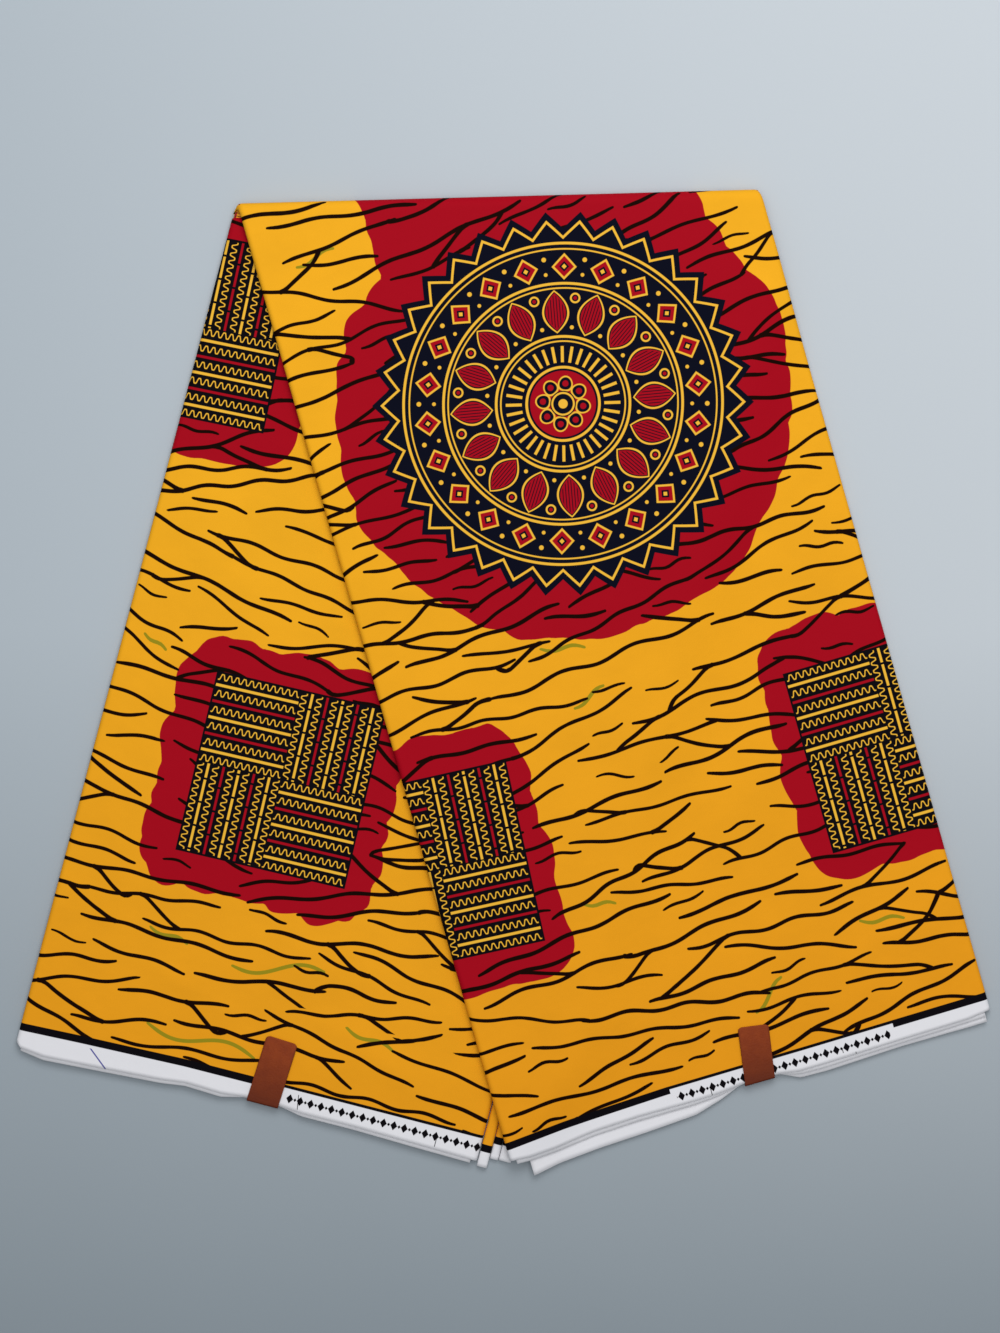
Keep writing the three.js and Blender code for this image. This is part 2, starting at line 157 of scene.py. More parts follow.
# %% [markdown]
# Tables give what was measured at a few places across the strip: where each layer's selvedge ends,
# and where the printed border stops. Values between the places are read along straight lines. A
# third table has the soft creases of the two upper sheets, which show only where light grazes them.
# %% Where the layers end
FRONT_ENDS = {
    "across": [0, 14, 31, 58, 88, 125, 143, 158, 184, 197, 214, 265, 312, 328],
    "face": [647.5, 648.8, 648, 644.4, 643.2, 643.4, 643, 641.2, 641.2, 643.4, 643.2, 641.8, 640.8, 638.8],
    "upper": [650.5, 651.2, 650.4, 647.4, 646, 645.8, 644.6, 641.8, 641.8, 645.4, 645.8, 644, 643, 642.4],
    "lower": [661.5, 661.5, 658.5, 656.3, 655, 652.7, 647.6, 641.8, 641.8, 648, 648.4, 646.4, 646.4, 646],
}
BACK_ENDS = {
    "across": [0, 4, 20, 62, 98, 114, 138, 153, 178, 192, 225, 272, 310],
    "face": [568.6, 571.8, 573.6, 571, 568.6, 566.6, 567.4, 565.6, 565.6, 566.8, 566.4, 567.2, 567.8],
    "leaf": [570.6, 573.6, 576, 573.4, 571, 568.8, 569.8, 566.2, 566.2, 568.8, 568.6, 569.6, 570.2],
}
FRONT_BORDER = {"across": [0, 40, 110, 200, 328], "end": [640.4, 637.5, 634.6, 633.8, 632]}
BACK_BORDER = {"across": [0, 40, 110, 200, 328], "end": [560.8, 559, 556.5, 556, 555.5]}


def read(table, column, across):
    return np.interp(across, table["across"], table[column])


CREASES = {
    "front": [
        {"from": (184, 385), "to": (196, 565), "width": 13, "rise": 0.75},
        {"from": (52, 566), "to": (150, 606), "width": 9, "rise": 0.5},
        {"from": (222, 598), "to": (318, 566), "width": 10, "rise": 0.6},
        {"from": (16, 246), "to": (66, 330), "width": 9, "rise": 0.45},
        {"from": (256, 520), "to": (312, 452), "width": 8, "rise": 0.4},
        {"from": (84, 44), "to": (16, 58), "width": 8, "rise": 0.4},
        {"from": (300, 110), "to": (318, 240), "width": 7, "rise": 0.35},
    ],
    "back": [
        {"from": (50, 498), "to": (150, 522), "width": 8, "rise": 0.6},
        {"from": (168, 500), "to": (286, 540), "width": 9, "rise": 0.7},
        {"from": (18, 226), "to": (92, 250), "width": 10, "rise": 0.5},
        {"from": (26, 408), "to": (54, 520), "width": 9, "rise": 0.5},
        {"from": (120, 250), "to": (190, 276), "width": 7, "rise": 0.35},
    ],
}
CREASE_SWAY = {"height": 4.0, "length": 27}
CREASE_FADE = 0.35


def crease_rise(half, across, along):
    """Height of the soft ridges in the top sheet. Each runs from place to place and dies out at its ends."""
    total = np.zeros_like(across)
    for crease in CREASES[half]:
        (u, w), (u_end, w_end) = crease["from"], crease["to"]
        length = math.hypot(u_end - u, w_end - w)
        run_u, run_w = (u_end - u) / length, (w_end - w) / length
        run = (across - u) * run_u + (along - w) * run_w
        sway = CREASE_SWAY["height"] * np.sin(run / CREASE_SWAY["length"])
        off = (along - w) * run_u - (across - u) * run_w + sway
        ends = ease(run / (CREASE_FADE * length)) * ease((length - run) / (CREASE_FADE * length))
        total += crease["rise"] * ends * np.exp(-((off / crease["width"]) ** 2))
    return total


print("front selvedge, left to right", FRONT_ENDS["face"][0], FRONT_ENDS["face"][-1])

# %% [markdown]
# Camera, floor and light. The photo looks straight down from some way off, so the lens is long and
# its picture is the width of the 0.65 m that the photo shows. One wide soft light stands towards
# the fold, where the photo is brightest, and a pale sky fills the rest. The board that the cloth
# lies on is a pale blue grey, with painted light that makes it paler to the right and painted shade
# that makes it darker towards the viewer.
# %% Camera, floor and lights
scene = bpy.context.scene
PHOTO_HEIGHT = 0.8665
VIEW_CENTRE = (-0.0021, 0.01055)
CLOTH_LEVEL = 0.009
LENS, SENSOR = 90, 36
camera_data = bpy.data.cameras.new("camera")
camera_data.lens, camera_data.sensor_width = LENS, SENSOR
camera = bpy.data.objects.new("camera", camera_data)
camera.location = (*VIEW_CENTRE, PHOTO_HEIGHT * LENS / SENSOR + CLOTH_LEVEL)
scene.collection.objects.link(camera)
scene.camera = camera
scene.view_settings.view_transform = "Standard"

floor_mesh = bpy.data.meshes.new("floor")
shape = bmesh.new()
bmesh.ops.create_grid(shape, x_segments=2, y_segments=2, size=3)
shape.to_mesh(floor_mesh)
shape.free()
floor = bpy.data.objects.new("floor", floor_mesh)
scene.collection.objects.link(floor)
board, tree = new_material("pale_board")
place_on_board = put(tree, "TexCoord", out=3)
board_x, board_y, _ = put(tree, "SeparateXYZ", place_on_board).node.outputs
fleck = put(tree, "TexNoise", {"Vector": place_on_board, "Scale": 6.0, "Detail": 3.0})
# Painted light: the far part of the board is paler to the right, as if lit more from that side.
wide = put(tree, "MapRange", {0: board_x, 1: -0.35, 2: 0.35})
painted_light_far_tone = put(tree, "Mix", {0: wide, 6: colour("a6afb6"), 7: colour("bbc1c6")}, out=2, data_type="RGBA")
# Painted shade: the board turns darker towards the viewer, away from the light.
painted_shade_near = put(tree, "MapRange", {0: put(tree, "MULTIPLY_ADD", fleck, 0.03, board_y), 1: 0.05, 2: -0.44})
tone = put(tree, "Mix", {0: painted_shade_near, 6: painted_light_far_tone, 7: colour("808a91")}, out=2, data_type="RGBA")
skin = put(tree, "BsdfPrincipled", {"Base Color": tone, "Roughness": 0.55})
put(tree, "OutputMaterial", skin)
floor_mesh.materials.append(board)

for name, at, size, power in (
    ("window", (0.25, 1.25, 1.5), (1.6, 1.0), 21.0),
    ("ceiling", (0.1, 0.05, 2.4), (2.2, 2.2), 24.4),
):
    data = bpy.data.lights.new(name, "AREA")
    data.shape, data.size, data.size_y, data.energy = "RECTANGLE", size[0], size[1], power
    light = bpy.data.objects.new(name, data)
    light.location = at
    light.rotation_mode = "QUATERNION"
    light.rotation_quaternion = (-Vector(at)).to_track_quat("-Z", "Y")
    scene.collection.objects.link(light)
world = bpy.data.worlds.new("sky")
scene.world = world
world.use_nodes = True
world.node_tree.nodes["Background"].inputs["Color"].default_value = colour("dfe6ec")
world.node_tree.nodes["Background"].inputs["Strength"].default_value = 0.42
print("camera", tuple(round(x, 3) for x in camera.location))

# %% [markdown]
# The veins. The print's ground is crossed by dark wavy strokes that branch and merge like cracks in
# bark. They could be drawn with noise bands, but those never meet in a clean fork. Here each stroke
# is walked step by step: it leans with the print, swings from side to side, and stops where it
# runs into an older stroke or comes near one. Branches leave a stroke at a slow turn, and two more
# rounds of shorter strokes fill what is left. Seeds make the same print every time.
# In the tables a pair is a least and a most, in millimetres or degrees. The lean is the slant of the
# strokes in degrees, read at a few places along each half.
# %% Grow the veins
VEIN_STEP = 1.0
CELL = 12.0
MERGE_REACH = 5.2
MERGE_RUN = 10.0
FINER = 3
VEIN_GROUPS = 5
FRONT_LEAN = {"along": [0, 200, 350, 500, 640], "lean": [-9, -1, 3, -4, -6]}
BACK_LEAN = {"along": [0, 200, 270, 420, 570], "lean": [-3, -4, 8, 2, 3]}
ROUNDS = (
    {"tries": 320, "room": 12.4, "reach": (60, 150), "bias": 12, "swing": (5, 13), "wave": (40, 75),
     "half": (1.3, 1.5), "joins": 0.9, "least": 50, "branches": 3.2},
    {"tries": 700, "room": 10.5, "reach": (25, 90), "bias": 12, "swing": (6, 13), "wave": (36, 60),
     "half": (1.15, 1.4), "joins": 0.9, "least": 24, "branches": 1.0},
    {"tries": 420, "room": 8.6, "reach": (9, 19), "bias": 7, "swing": (12, 20), "wave": (22, 34),
     "half": (0.95, 1.15), "joins": 0.0, "least": 16, "branches": 0.0},
)
BRANCH = {"turn": (19, 30), "swing": (3, 9), "wave": (40, 70), "reach": (32, 110), "joins": 0.8,
          "half": (1.15, 1.4), "clearance": 5.0, "skip": 24, "bend": 6, "least": 28}
# A branch is laid only if it is this far from the older strokes after so many steps.
BRANCH_APART, BRANCH_LOOK = 3.6, 14
BRANCH_END = 6
CLEARANCE_SHARE = 0.55


def nearest_older(cells, u, w):
    """The nearest point of the older strokes, looked up in a coarse grid of cells, and its distance."""
    i, j = int(u // CELL), int(w // CELL)
    best, found = CELL * CELL, None
    for a in (i - 1, i, i + 1):
        for b in (j - 1, j, j + 1):
            for x, y in cells.get((a, b), ()):
                gap = (x - u) ** 2 + (y - w) ** 2
                if gap < best:
                    best, found = gap, (x, y)
    return math.sqrt(best), found


def run_into(cells, u, w, step_u, step_w):
    """A short bend from a stroke's tip to the older stroke ahead, so that they meet in a narrow fork."""
    ahead = (u + step_u * MERGE_RUN, w + step_w * MERGE_RUN)
    target = nearest_older(cells, *ahead)[1] or ahead
    middle = (u + step_u * MERGE_RUN / 2, w + step_w * MERGE_RUN / 2)
    steps = int(MERGE_RUN)
    bend = []
    for i in range(1, steps + 1):
        t = i / steps
        bend.append(tuple(mix(mix(a, b, t), mix(b, c, t), t) for a, b, c in zip((u, w), middle, target)))
    return bend


def walk(cells, seed, hand, sign, length, lean, clearance, joins, skip=0.0, bend=0.0):
    """Half a stroke from its seed, and whether it ended on an older stroke."""
    bias, swing, wave, phase = hand
    u, w = seed
    points = []
    for i in range(1, int(length / VEIN_STEP) + 1):
        run = sign * i * VEIN_STEP
        heading = np.interp(w, lean["along"], lean["lean"]) + bias * (min(1, i / bend) if bend else 1)
        heading = math.radians(heading + swing * math.sin(2 * math.pi * run / wave + phase))
        step_u, step_w = sign * math.cos(heading) * VEIN_STEP, sign * math.sin(heading) * VEIN_STEP
        u, w = u + step_u, w + step_w
        if i * VEIN_STEP > skip:
            gap = nearest_older(cells, u, w)[0]
            if joins and gap < MERGE_REACH:
                return points + run_into(cells, u, w, step_u, step_w), True
            if gap < clearance:
                return points, False
        points.append((u, w))
    return points, False


def lay(cells, strokes, points, half, joined):
    """Adds a stroke to the list, and its points to the cells."""
    strokes.append((points, half, joined))
    for u, w in points:
        cells.setdefault((int(u // CELL), int(w // CELL)), []).append((u, w))


def free_strokes(rng, cells, strokes, lean, bottom, plan):
    """One round of strokes from seeds at random places, each grown both ways."""
    for _ in range(plan["tries"]):
        seed = (rng.uniform(-5, STRIP_WIDTH + 5), rng.uniform(-16, bottom))
        hand = (rng.normal(0, plan["bias"]), rng.uniform(*plan["swing"]), rng.uniform(*plan["wave"]),
                rng.uniform(0, 6.28))
        lengths = rng.uniform(*plan["reach"], 2)
        joins = rng.random(2) < plan["joins"]
        thick = rng.uniform(*plan["half"])
        if nearest_older(cells, *seed)[0] < plan["room"]:
            continue
        clearance = plan["room"] * CLEARANCE_SHARE
        ends = [walk(cells, seed, hand, sign, length, lean, clearance, join)
                for sign, length, join in zip((-1, 1), lengths, joins)]
        points = ends[0][0][::-1] + [seed] + ends[1][0]
        if len(points) > plan["least"]:
            lay(cells, strokes, points, thick, (ends[0][1], ends[1][1]))


def branches(rng, cells, strokes, lean, tries):
    """So many tries for each 100 mm of every stroke so far."""
    for points, _, _ in list(strokes):
        for _ in range(round(tries * len(points) / 100)):
            pick, sign = rng.random(), rng.choice([-1, 1])
            turn = rng.choice([-1, 1]) * rng.uniform(*BRANCH["turn"])
            hand = (turn, rng.uniform(*BRANCH["swing"]), rng.uniform(*BRANCH["wave"]), 0.0)
            reach, joins = rng.uniform(*BRANCH["reach"]), rng.random() < BRANCH["joins"]
            thick = rng.uniform(*BRANCH["half"])
            seed = points[int(mix(BRANCH_END, len(points) - BRANCH_END, pick))]
            found, joined = walk(cells, seed, hand, sign, reach, lean, BRANCH["clearance"], joins,
                                 skip=BRANCH["skip"], bend=BRANCH["bend"])
            if len(found) > BRANCH["least"] and nearest_older(cells, *found[BRANCH_LOOK])[0] > BRANCH_APART:
                lay(cells, strokes, [seed] + found, thick, (True, joined))


def grow_veins(seed, lean, bottom):
    rng, cells, strokes = np.random.default_rng(seed), {}, []
    for plan in ROUNDS:
        free_strokes(rng, cells, strokes, lean, bottom, plan)
        branches(rng, cells, strokes, lean, plan["branches"])
    return strokes


def in_groups(strokes):
    """Deals the strokes out, so that those of one group stay apart, also where two strokes meet."""
    groups, taken = [[] for _ in range(VEIN_GROUPS)], [{} for _ in range(VEIN_GROUPS)]
    tightest = CELL
    for points, half, joined in strokes:
        rooms = [min(nearest_older(cells, u, w)[0] for u, w in points[::2]) for cells in taken]
        best = rooms.index(max(rooms))
        tightest = min(tightest, rooms[best])
        lay(taken[best], groups[best], points, half, joined)
    print("groups of", [len(group) for group in groups], "strokes,", round(tightest, 1), "mm apart or more")
    return groups


TAPER_RUN = 7
JOINED_SWELL, FREE_TAPER = 0.2, -0.3


def stroke_tree(strokes):
    halves, total = [], sum((len(points) - 1) * FINER for points, _, _ in strokes)
    tree = kdtree.KDTree(total)
    for points, half, joined in strokes:
        for i in range((len(points) - 1) * FINER):
            (u0, w0), (u1, w1), t = points[i // FINER], points[i // FINER + 1], i % FINER / FINER
            tree.insert((mix(u0, u1, t), mix(w0, w1, t), 0), len(halves))
            taper = 1.0
            for steps, on in ((i / FINER, joined[0]), (len(points) - 1 - i / FINER, joined[1])):
                near_end = 1 - min(1, steps / TAPER_RUN)
                taper += (JOINED_SWELL if on else FREE_TAPER) * near_end
            halves.append(half * taper)
    tree.balance()
    return tree, halves


OLIVE_STROKES = {
    "front": [((110, 334), (138, 341)), ((121, 377), (143, 368)), ((92, 500), (112, 505)),
              ((181, 599), (203, 581)), ((26, 52), (52, 47)), ((262, 560), (290, 566))],
    "back": [((46, 19), (64, 26)), ((14, 290), (30, 297)), ((66, 474), (92, 479)), ((124, 485), (183, 474)),
             ((80, 535), (153, 540)), ((206, 505), (240, 513))],
}
OLIVE_HALF = 1.25
OLIVE_SWAY = 1 / 16


def olive_curves(ends):
    """Short strokes of an olive ink, each a lazy S between two ends."""
    strokes = []
    for (u0, w0), (u1, w1) in ends:
        count = int(math.hypot(u1 - u0, w1 - w0))
        steps = [i / count for i in range(count + 1)]
        points = [(mix(u0, u1, t), mix(w0, w1, t) + count * OLIVE_SWAY * math.sin(2 * math.pi * t))
                  for t in steps]
        strokes.append((points, OLIVE_HALF, (False, False)))
    return strokes


olive_trees = {half: stroke_tree(olive_curves(ends)) for half, ends in OLIVE_STROKES.items()}
vein_sets = {"front": grow_veins(11, FRONT_LEAN, 632.0), "back": grow_veins(23, BACK_LEAN, 556.0)}
vein_trees = {}
for half, strokes in vein_sets.items():
    vein_trees[half] = [stroke_tree(group) for group in in_groups(strokes)]
print("veins", {name: len(strokes) for name, strokes in vein_sets.items()})

# %% [markdown]
# Red clouds lie under the motifs. Each is a rounded box or a disc with a soft wavy outline, given by
# its middle, its half sizes and its corner radius, across and along the strip.
# %% Red clouds
CLOUDS = {
    "front": [
        {"middle": (167, 190), "half": (150, 150), "corner": 150},
        {"middle": (182, 20), "half": (108, 92), "corner": 30},
        {"middle": (0, 454), "half": (81, 86), "corner": 26},
        {"middle": (320, 448), "half": (81, 84), "corner": 26},
    ],
    "back": [
        {"middle": (-8, 92), "half": (88, 78), "corner": 26},
        {"middle": (122, 361), "half": (79, 83), "corner": 26},
    ],
}
LOBE_LENGTH = {"front": 34, "back": 26}
LOBE_DEPTH, LOBE_SHARE = 9, 3
CRUMB_LENGTH, CRUMB_DEPTH = 9, 1.1
NO_CLOUD = 60.0


def ripples(across, along, length, layer):
    """Soft noise over the strip, with waves of about the given length."""
    return np.array([noise.noise(Vector((u / length, w / length, layer))) for u, w in zip(across, along)])


def cloud_distance(half, across, along):
    """Signed distance to the clouds' outlines, negative inside, with soft lobes and small crumbs."""
    nearest = np.full(across.shape, NO_CLOUD)
    for cloud in CLOUDS[half]:
        x = np.abs(across - cloud["middle"][0]) - cloud["half"][0] + cloud["corner"]
        y = np.abs(along - cloud["middle"][1]) - cloud["half"][1] + cloud["corner"]
        flat = np.hypot(np.maximum(x, 0), np.maximum(y, 0)) + np.minimum(np.maximum(x, y), 0)
        nearest = np.minimum(nearest, flat - cloud["corner"])
    lobe = np.abs(ripples(across, along, LOBE_LENGTH[half], layer=3.1))
    crumb = ripples(across, along, CRUMB_LENGTH, layer=8.7)
    return nearest - LOBE_DEPTH * lobe + LOBE_SHARE + CRUMB_DEPTH * crumb


print("clouds", {half: len(rows) for half, rows in CLOUDS.items()})


# %% [markdown]
# A sheet starts as a flat grid of faces, and each corner is then moved to its place in the folded
# strip. The grid also keeps what the print needs to know at each corner: how far across and along
# the strip it is, how far past the border, the way to the nearest vein, and the clouds' outline.
# The way to a vein is kept as an arrow in units of the vein's half width, because an arrow turns
# over as it crosses a line, so that the line stays sharp between two corners of the grid. Where two
# veins meet, one arrow would jump between them. So the veins are dealt out to groups whose strokes
# stay apart, each group has its own arrow, and the print is inked where any of them is short.
# %% Make a sheet from a grid
VEIN_NAMES = [f"vein_{group}" for group in range(VEIN_GROUPS)]
EDGE_RADIUS = 3.3
EDGE_HEM = 0.6
CLOTH = 0.4
COLUMNS = 152
TURN_COLUMNS = 9
TURN_RUN = 6.6
FAR_ARROW = 20.0


def turned_edge(run):
    """Inset from the side and depth of a point of a turned-down sheet, by its arc length from the hem."""
    arc = EDGE_RADIUS * math.pi / 2
    angle = np.clip((run - EDGE_HEM) / EDGE_RADIUS, 0, math.pi / 2)
    inset = EDGE_RADIUS * (1 - np.cos(angle)) + np.maximum(0, run - EDGE_HEM - arc)
    depth = EDGE_RADIUS * (1 - np.sin(angle)) + np.maximum(0, EDGE_HEM - run)
    return inset, depth


def across_sheet(p, left, right):
    """Place across the strip and depth for shares of a sheet's width, with finer steps at the turns."""
    total = right - left + 2 * (EDGE_HEM + EDGE_RADIUS * (math.pi / 2 - 1))
    fine = TURN_COLUMNS / COLUMNS
    middle_run = TURN_RUN + (p - fine) / (1 - 2 * fine) * (total - 2 * TURN_RUN)
    run = np.where(p > 1 - fine, total - (1 - p) / fine * TURN_RUN, middle_run)
    run = np.where(p < fine, p / fine * TURN_RUN, run)
    left_inset, left_depth = turned_edge(run)
    right_inset, right_depth = turned_edge(total - run)
    on_left = run < total / 2
    return (np.where(on_left, left + left_inset, right - right_inset),
            np.where(on_left, left_depth, right_depth))


def new_object(name, mesh, material):
    for face in mesh.polygons:
        face.use_smooth = True
    mesh.materials.append(material)
    thing = bpy.data.objects.new(name, mesh)
    scene.collection.objects.link(thing)
    return thing


def flat_grid(name, columns, rows):
    """A grid mesh, with the share of its width and length at every vertex."""
    mesh = bpy.data.meshes.new(name)
    shape = bmesh.new()
    bmesh.ops.create_grid(shape, x_segments=columns, y_segments=rows, size=0.5)
    shape.to_mesh(mesh)
    shape.free()
    flat = np.empty(len(mesh.vertices) * 3)
    mesh.vertices.foreach_get("co", flat)
    flat = flat.reshape(-1, 3)[:, :2] + 0.5
    return mesh, np.clip(flat[:, 0], 0, 1), np.clip(flat[:, 1], 0, 1)


def move_to(mesh, points):
    mesh.vertices.foreach_set("co", np.asarray(points, np.float32).ravel())
    mesh.update()


def keep(mesh, name, values):
    kind = "FLOAT_VECTOR" if values.ndim == 2 else "FLOAT"
    layer = mesh.attributes.new(name, kind, "POINT")
    field = "vector" if values.ndim == 2 else "value"
    layer.data.foreach_set(field, np.asarray(values, np.float32).ravel())


def keep_arrows(mesh, name, strokes, across, along):
    """An arrow to the nearest stroke in units of its half width, and the distance to its edge."""
    tree, halves = strokes
    arrows = np.empty((len(across), 3))
    for i, (u, w) in enumerate(zip(across, along)):
        nearest, index, gap = tree.find((u, w, 0))
        half = halves[index]
        arrows[i] = ((nearest[0] - u) / half, (nearest[1] - w) / half, gap - half)
    keep(mesh, name, np.clip(arrows, -FAR_ARROW, FAR_ARROW))


def keep_print(mesh, half, across, along, past):
    """What the print's material reads at each vertex."""
    keep(mesh, "strip", np.stack([across, along, past], -1))
    for group, name in enumerate(VEIN_NAMES):
        keep_arrows(mesh, name, vein_trees[half][group], across, along)
    keep_arrows(mesh, "olive", olive_trees[half], across, along)
    keep(mesh, "cloud", cloud_distance(half, across, along))


def keep_plain(mesh, across, along, past):
    """The same for a part that shows no vein and no cloud."""
    keep(mesh, "strip", np.stack([across, along, past], -1))
    for name in (*VEIN_NAMES, "olive"):
        keep(mesh, name, np.full((len(across), 3), FAR_ARROW))
    keep(mesh, "cloud", np.full(len(across), NO_CLOUD))


def keep_bake_map(mesh, p, q):
    """A flat map of the sheet, on which its print can be baked for other viewers."""
    layer = mesh.uv_layers.new(name="OFBake")
    corner = np.empty(len(mesh.loops), int)
    mesh.loops.foreach_get("vertex_index", corner)
    layer.uv.foreach_set("vector", np.stack([p[corner], q[corner]], -1).astype(np.float32).ravel())


print("sheet helpers ready")

# %% [markdown]
# The print itself. Wax print is dyed on both sides of a plain cotton weave: a yellow ground, red
# clouds, dark veins, black patches with a basket of bars and waves, and on the front half a round
# black rosette of rings, lozenges and petals. Each ink is laid over the one before, where some
# value, such as the distance to a line, is below an edge. So the lines stay sharp at any distance.
# %% Inks
INK_EDGE = 0.12
FAR = 9.0
# The second yellow is the first one with painted shade, darker towards the selvedges.
YELLOW_NEAR, YELLOW_IN_PAINTED_SHADE = colour("eca71f"), colour("e69619")
RED, BLACK = colour("a0081a"), colour("0a070c")
VEIN_INK, NAVY = colour("150400"), colour("070919")
LINE_YELLOW, OLIVE, WHITE = colour("eab238"), colour("94851a"), colour("e2e0e3")
PEN_BLUE = colour("5a5a9a")
BLOCK = (55.7, 59.0)
BLOCK_RUN = 57.0
PATCH_EDGE = 0.9
LINES = 11
LINE_PITCH = 5.2
BAR_REACH = 27.3
YELLOW_BAR, RED_BAR = 0.86, 0.8
BREAK = {"pitch": 15.0, "shift": 0.37, "share": 0.09}
WAVE_LENGTH = 4.95
WAVE_HEIGHT = 1.75
WAVE_FULL = 0.3
WAVE_HALF = 0.36
CLEAR_GAP, CLEAR_SLOPE = 1.0, 4.0
PATCHES = {
    "front": ({"corner": (-43.2, 390.4), "turn": 3.5}, {"corner": (257.8, 394.4), "turn": 0.0}, (0, 170)),
    "back": ({"corner": (-61.7, 31.3), "turn": -2.5}, {"corner": (66.6, 302.4), "turn": -1.5}, (1, 220)),
}
ROSETTE = (167.3, 186.2)
RAYS = {"count": 34, "slope": 1.05, "edge": 124.0, "line": 117.5, "line_half": 1.15}
RINGS = ((103.5, 0.85), (99.8, 0.5), (77.6, 0.85), (74.6, 0.5), (43.4, 0.85), (40.4, 0.5), (23.6, 0.85))
LOZENGES = {"count": 22, "radius": 88.5, "half_wide": 8.2, "half_long": 8.6, "size": 6.0,
            "inks": ((6.0, LINE_YELLOW), (4.7, RED), (2.4, NAVY), (1.2, LINE_YELLOW))}
PETALS = {"count": 16, "radius": 59.5, "half_long": 14.0, "half_wide": 8.8, "stripe": 0.95,
          "inks": ((0.0, LINE_YELLOW), (-1.3, NAVY), (-2.2, RED))}
DOTS = (
    {"count": 22, "radius": 93.6, "inks": ((1.5, LINE_YELLOW),)},
    {"count": 22, "radius": 83.8, "inks": ((1.2, LINE_YELLOW),)},
    {"count": 16, "radius": 68.5, "inks": ((3.4, LINE_YELLOW), (2.2, NAVY), (1.2, RED))},
    {"count": 16, "radius": 49.5, "inks": ((1.3, LINE_YELLOW),)},
)
BARS = {"count": 36, "radius": 32.0, "half_long": 5.2, "half_wide": 0.95}
FLOWER = {"count": 8, "radius": 13.2, "ground": 21.4,
          "inks": ((5.0, LINE_YELLOW), (4.0, NAVY), (2.0, RED))}
HEART = {"ground": 8.4, "ring": 7.0, "ring_half": 0.6, "dot": 3.0}


def apart(tree, a, b):
    """The distance between two values."""
    return put(tree, "ABSOLUTE", put(tree, "SUBTRACT", a, b))


def print_inks(tree, ground, layers):
    """Each layer is a value, an edge and an ink, which covers what lies under it where the value is less."""
    for value, edge, ink in layers:
        cover = put(tree, "MapRange", {0: value, 1: edge + INK_EDGE, 2: edge - INK_EDGE})
        ground = put(tree, "Mix", {0: cover, 6: ground, 7: ink}, out=2, data_type="RGBA")
    return ground


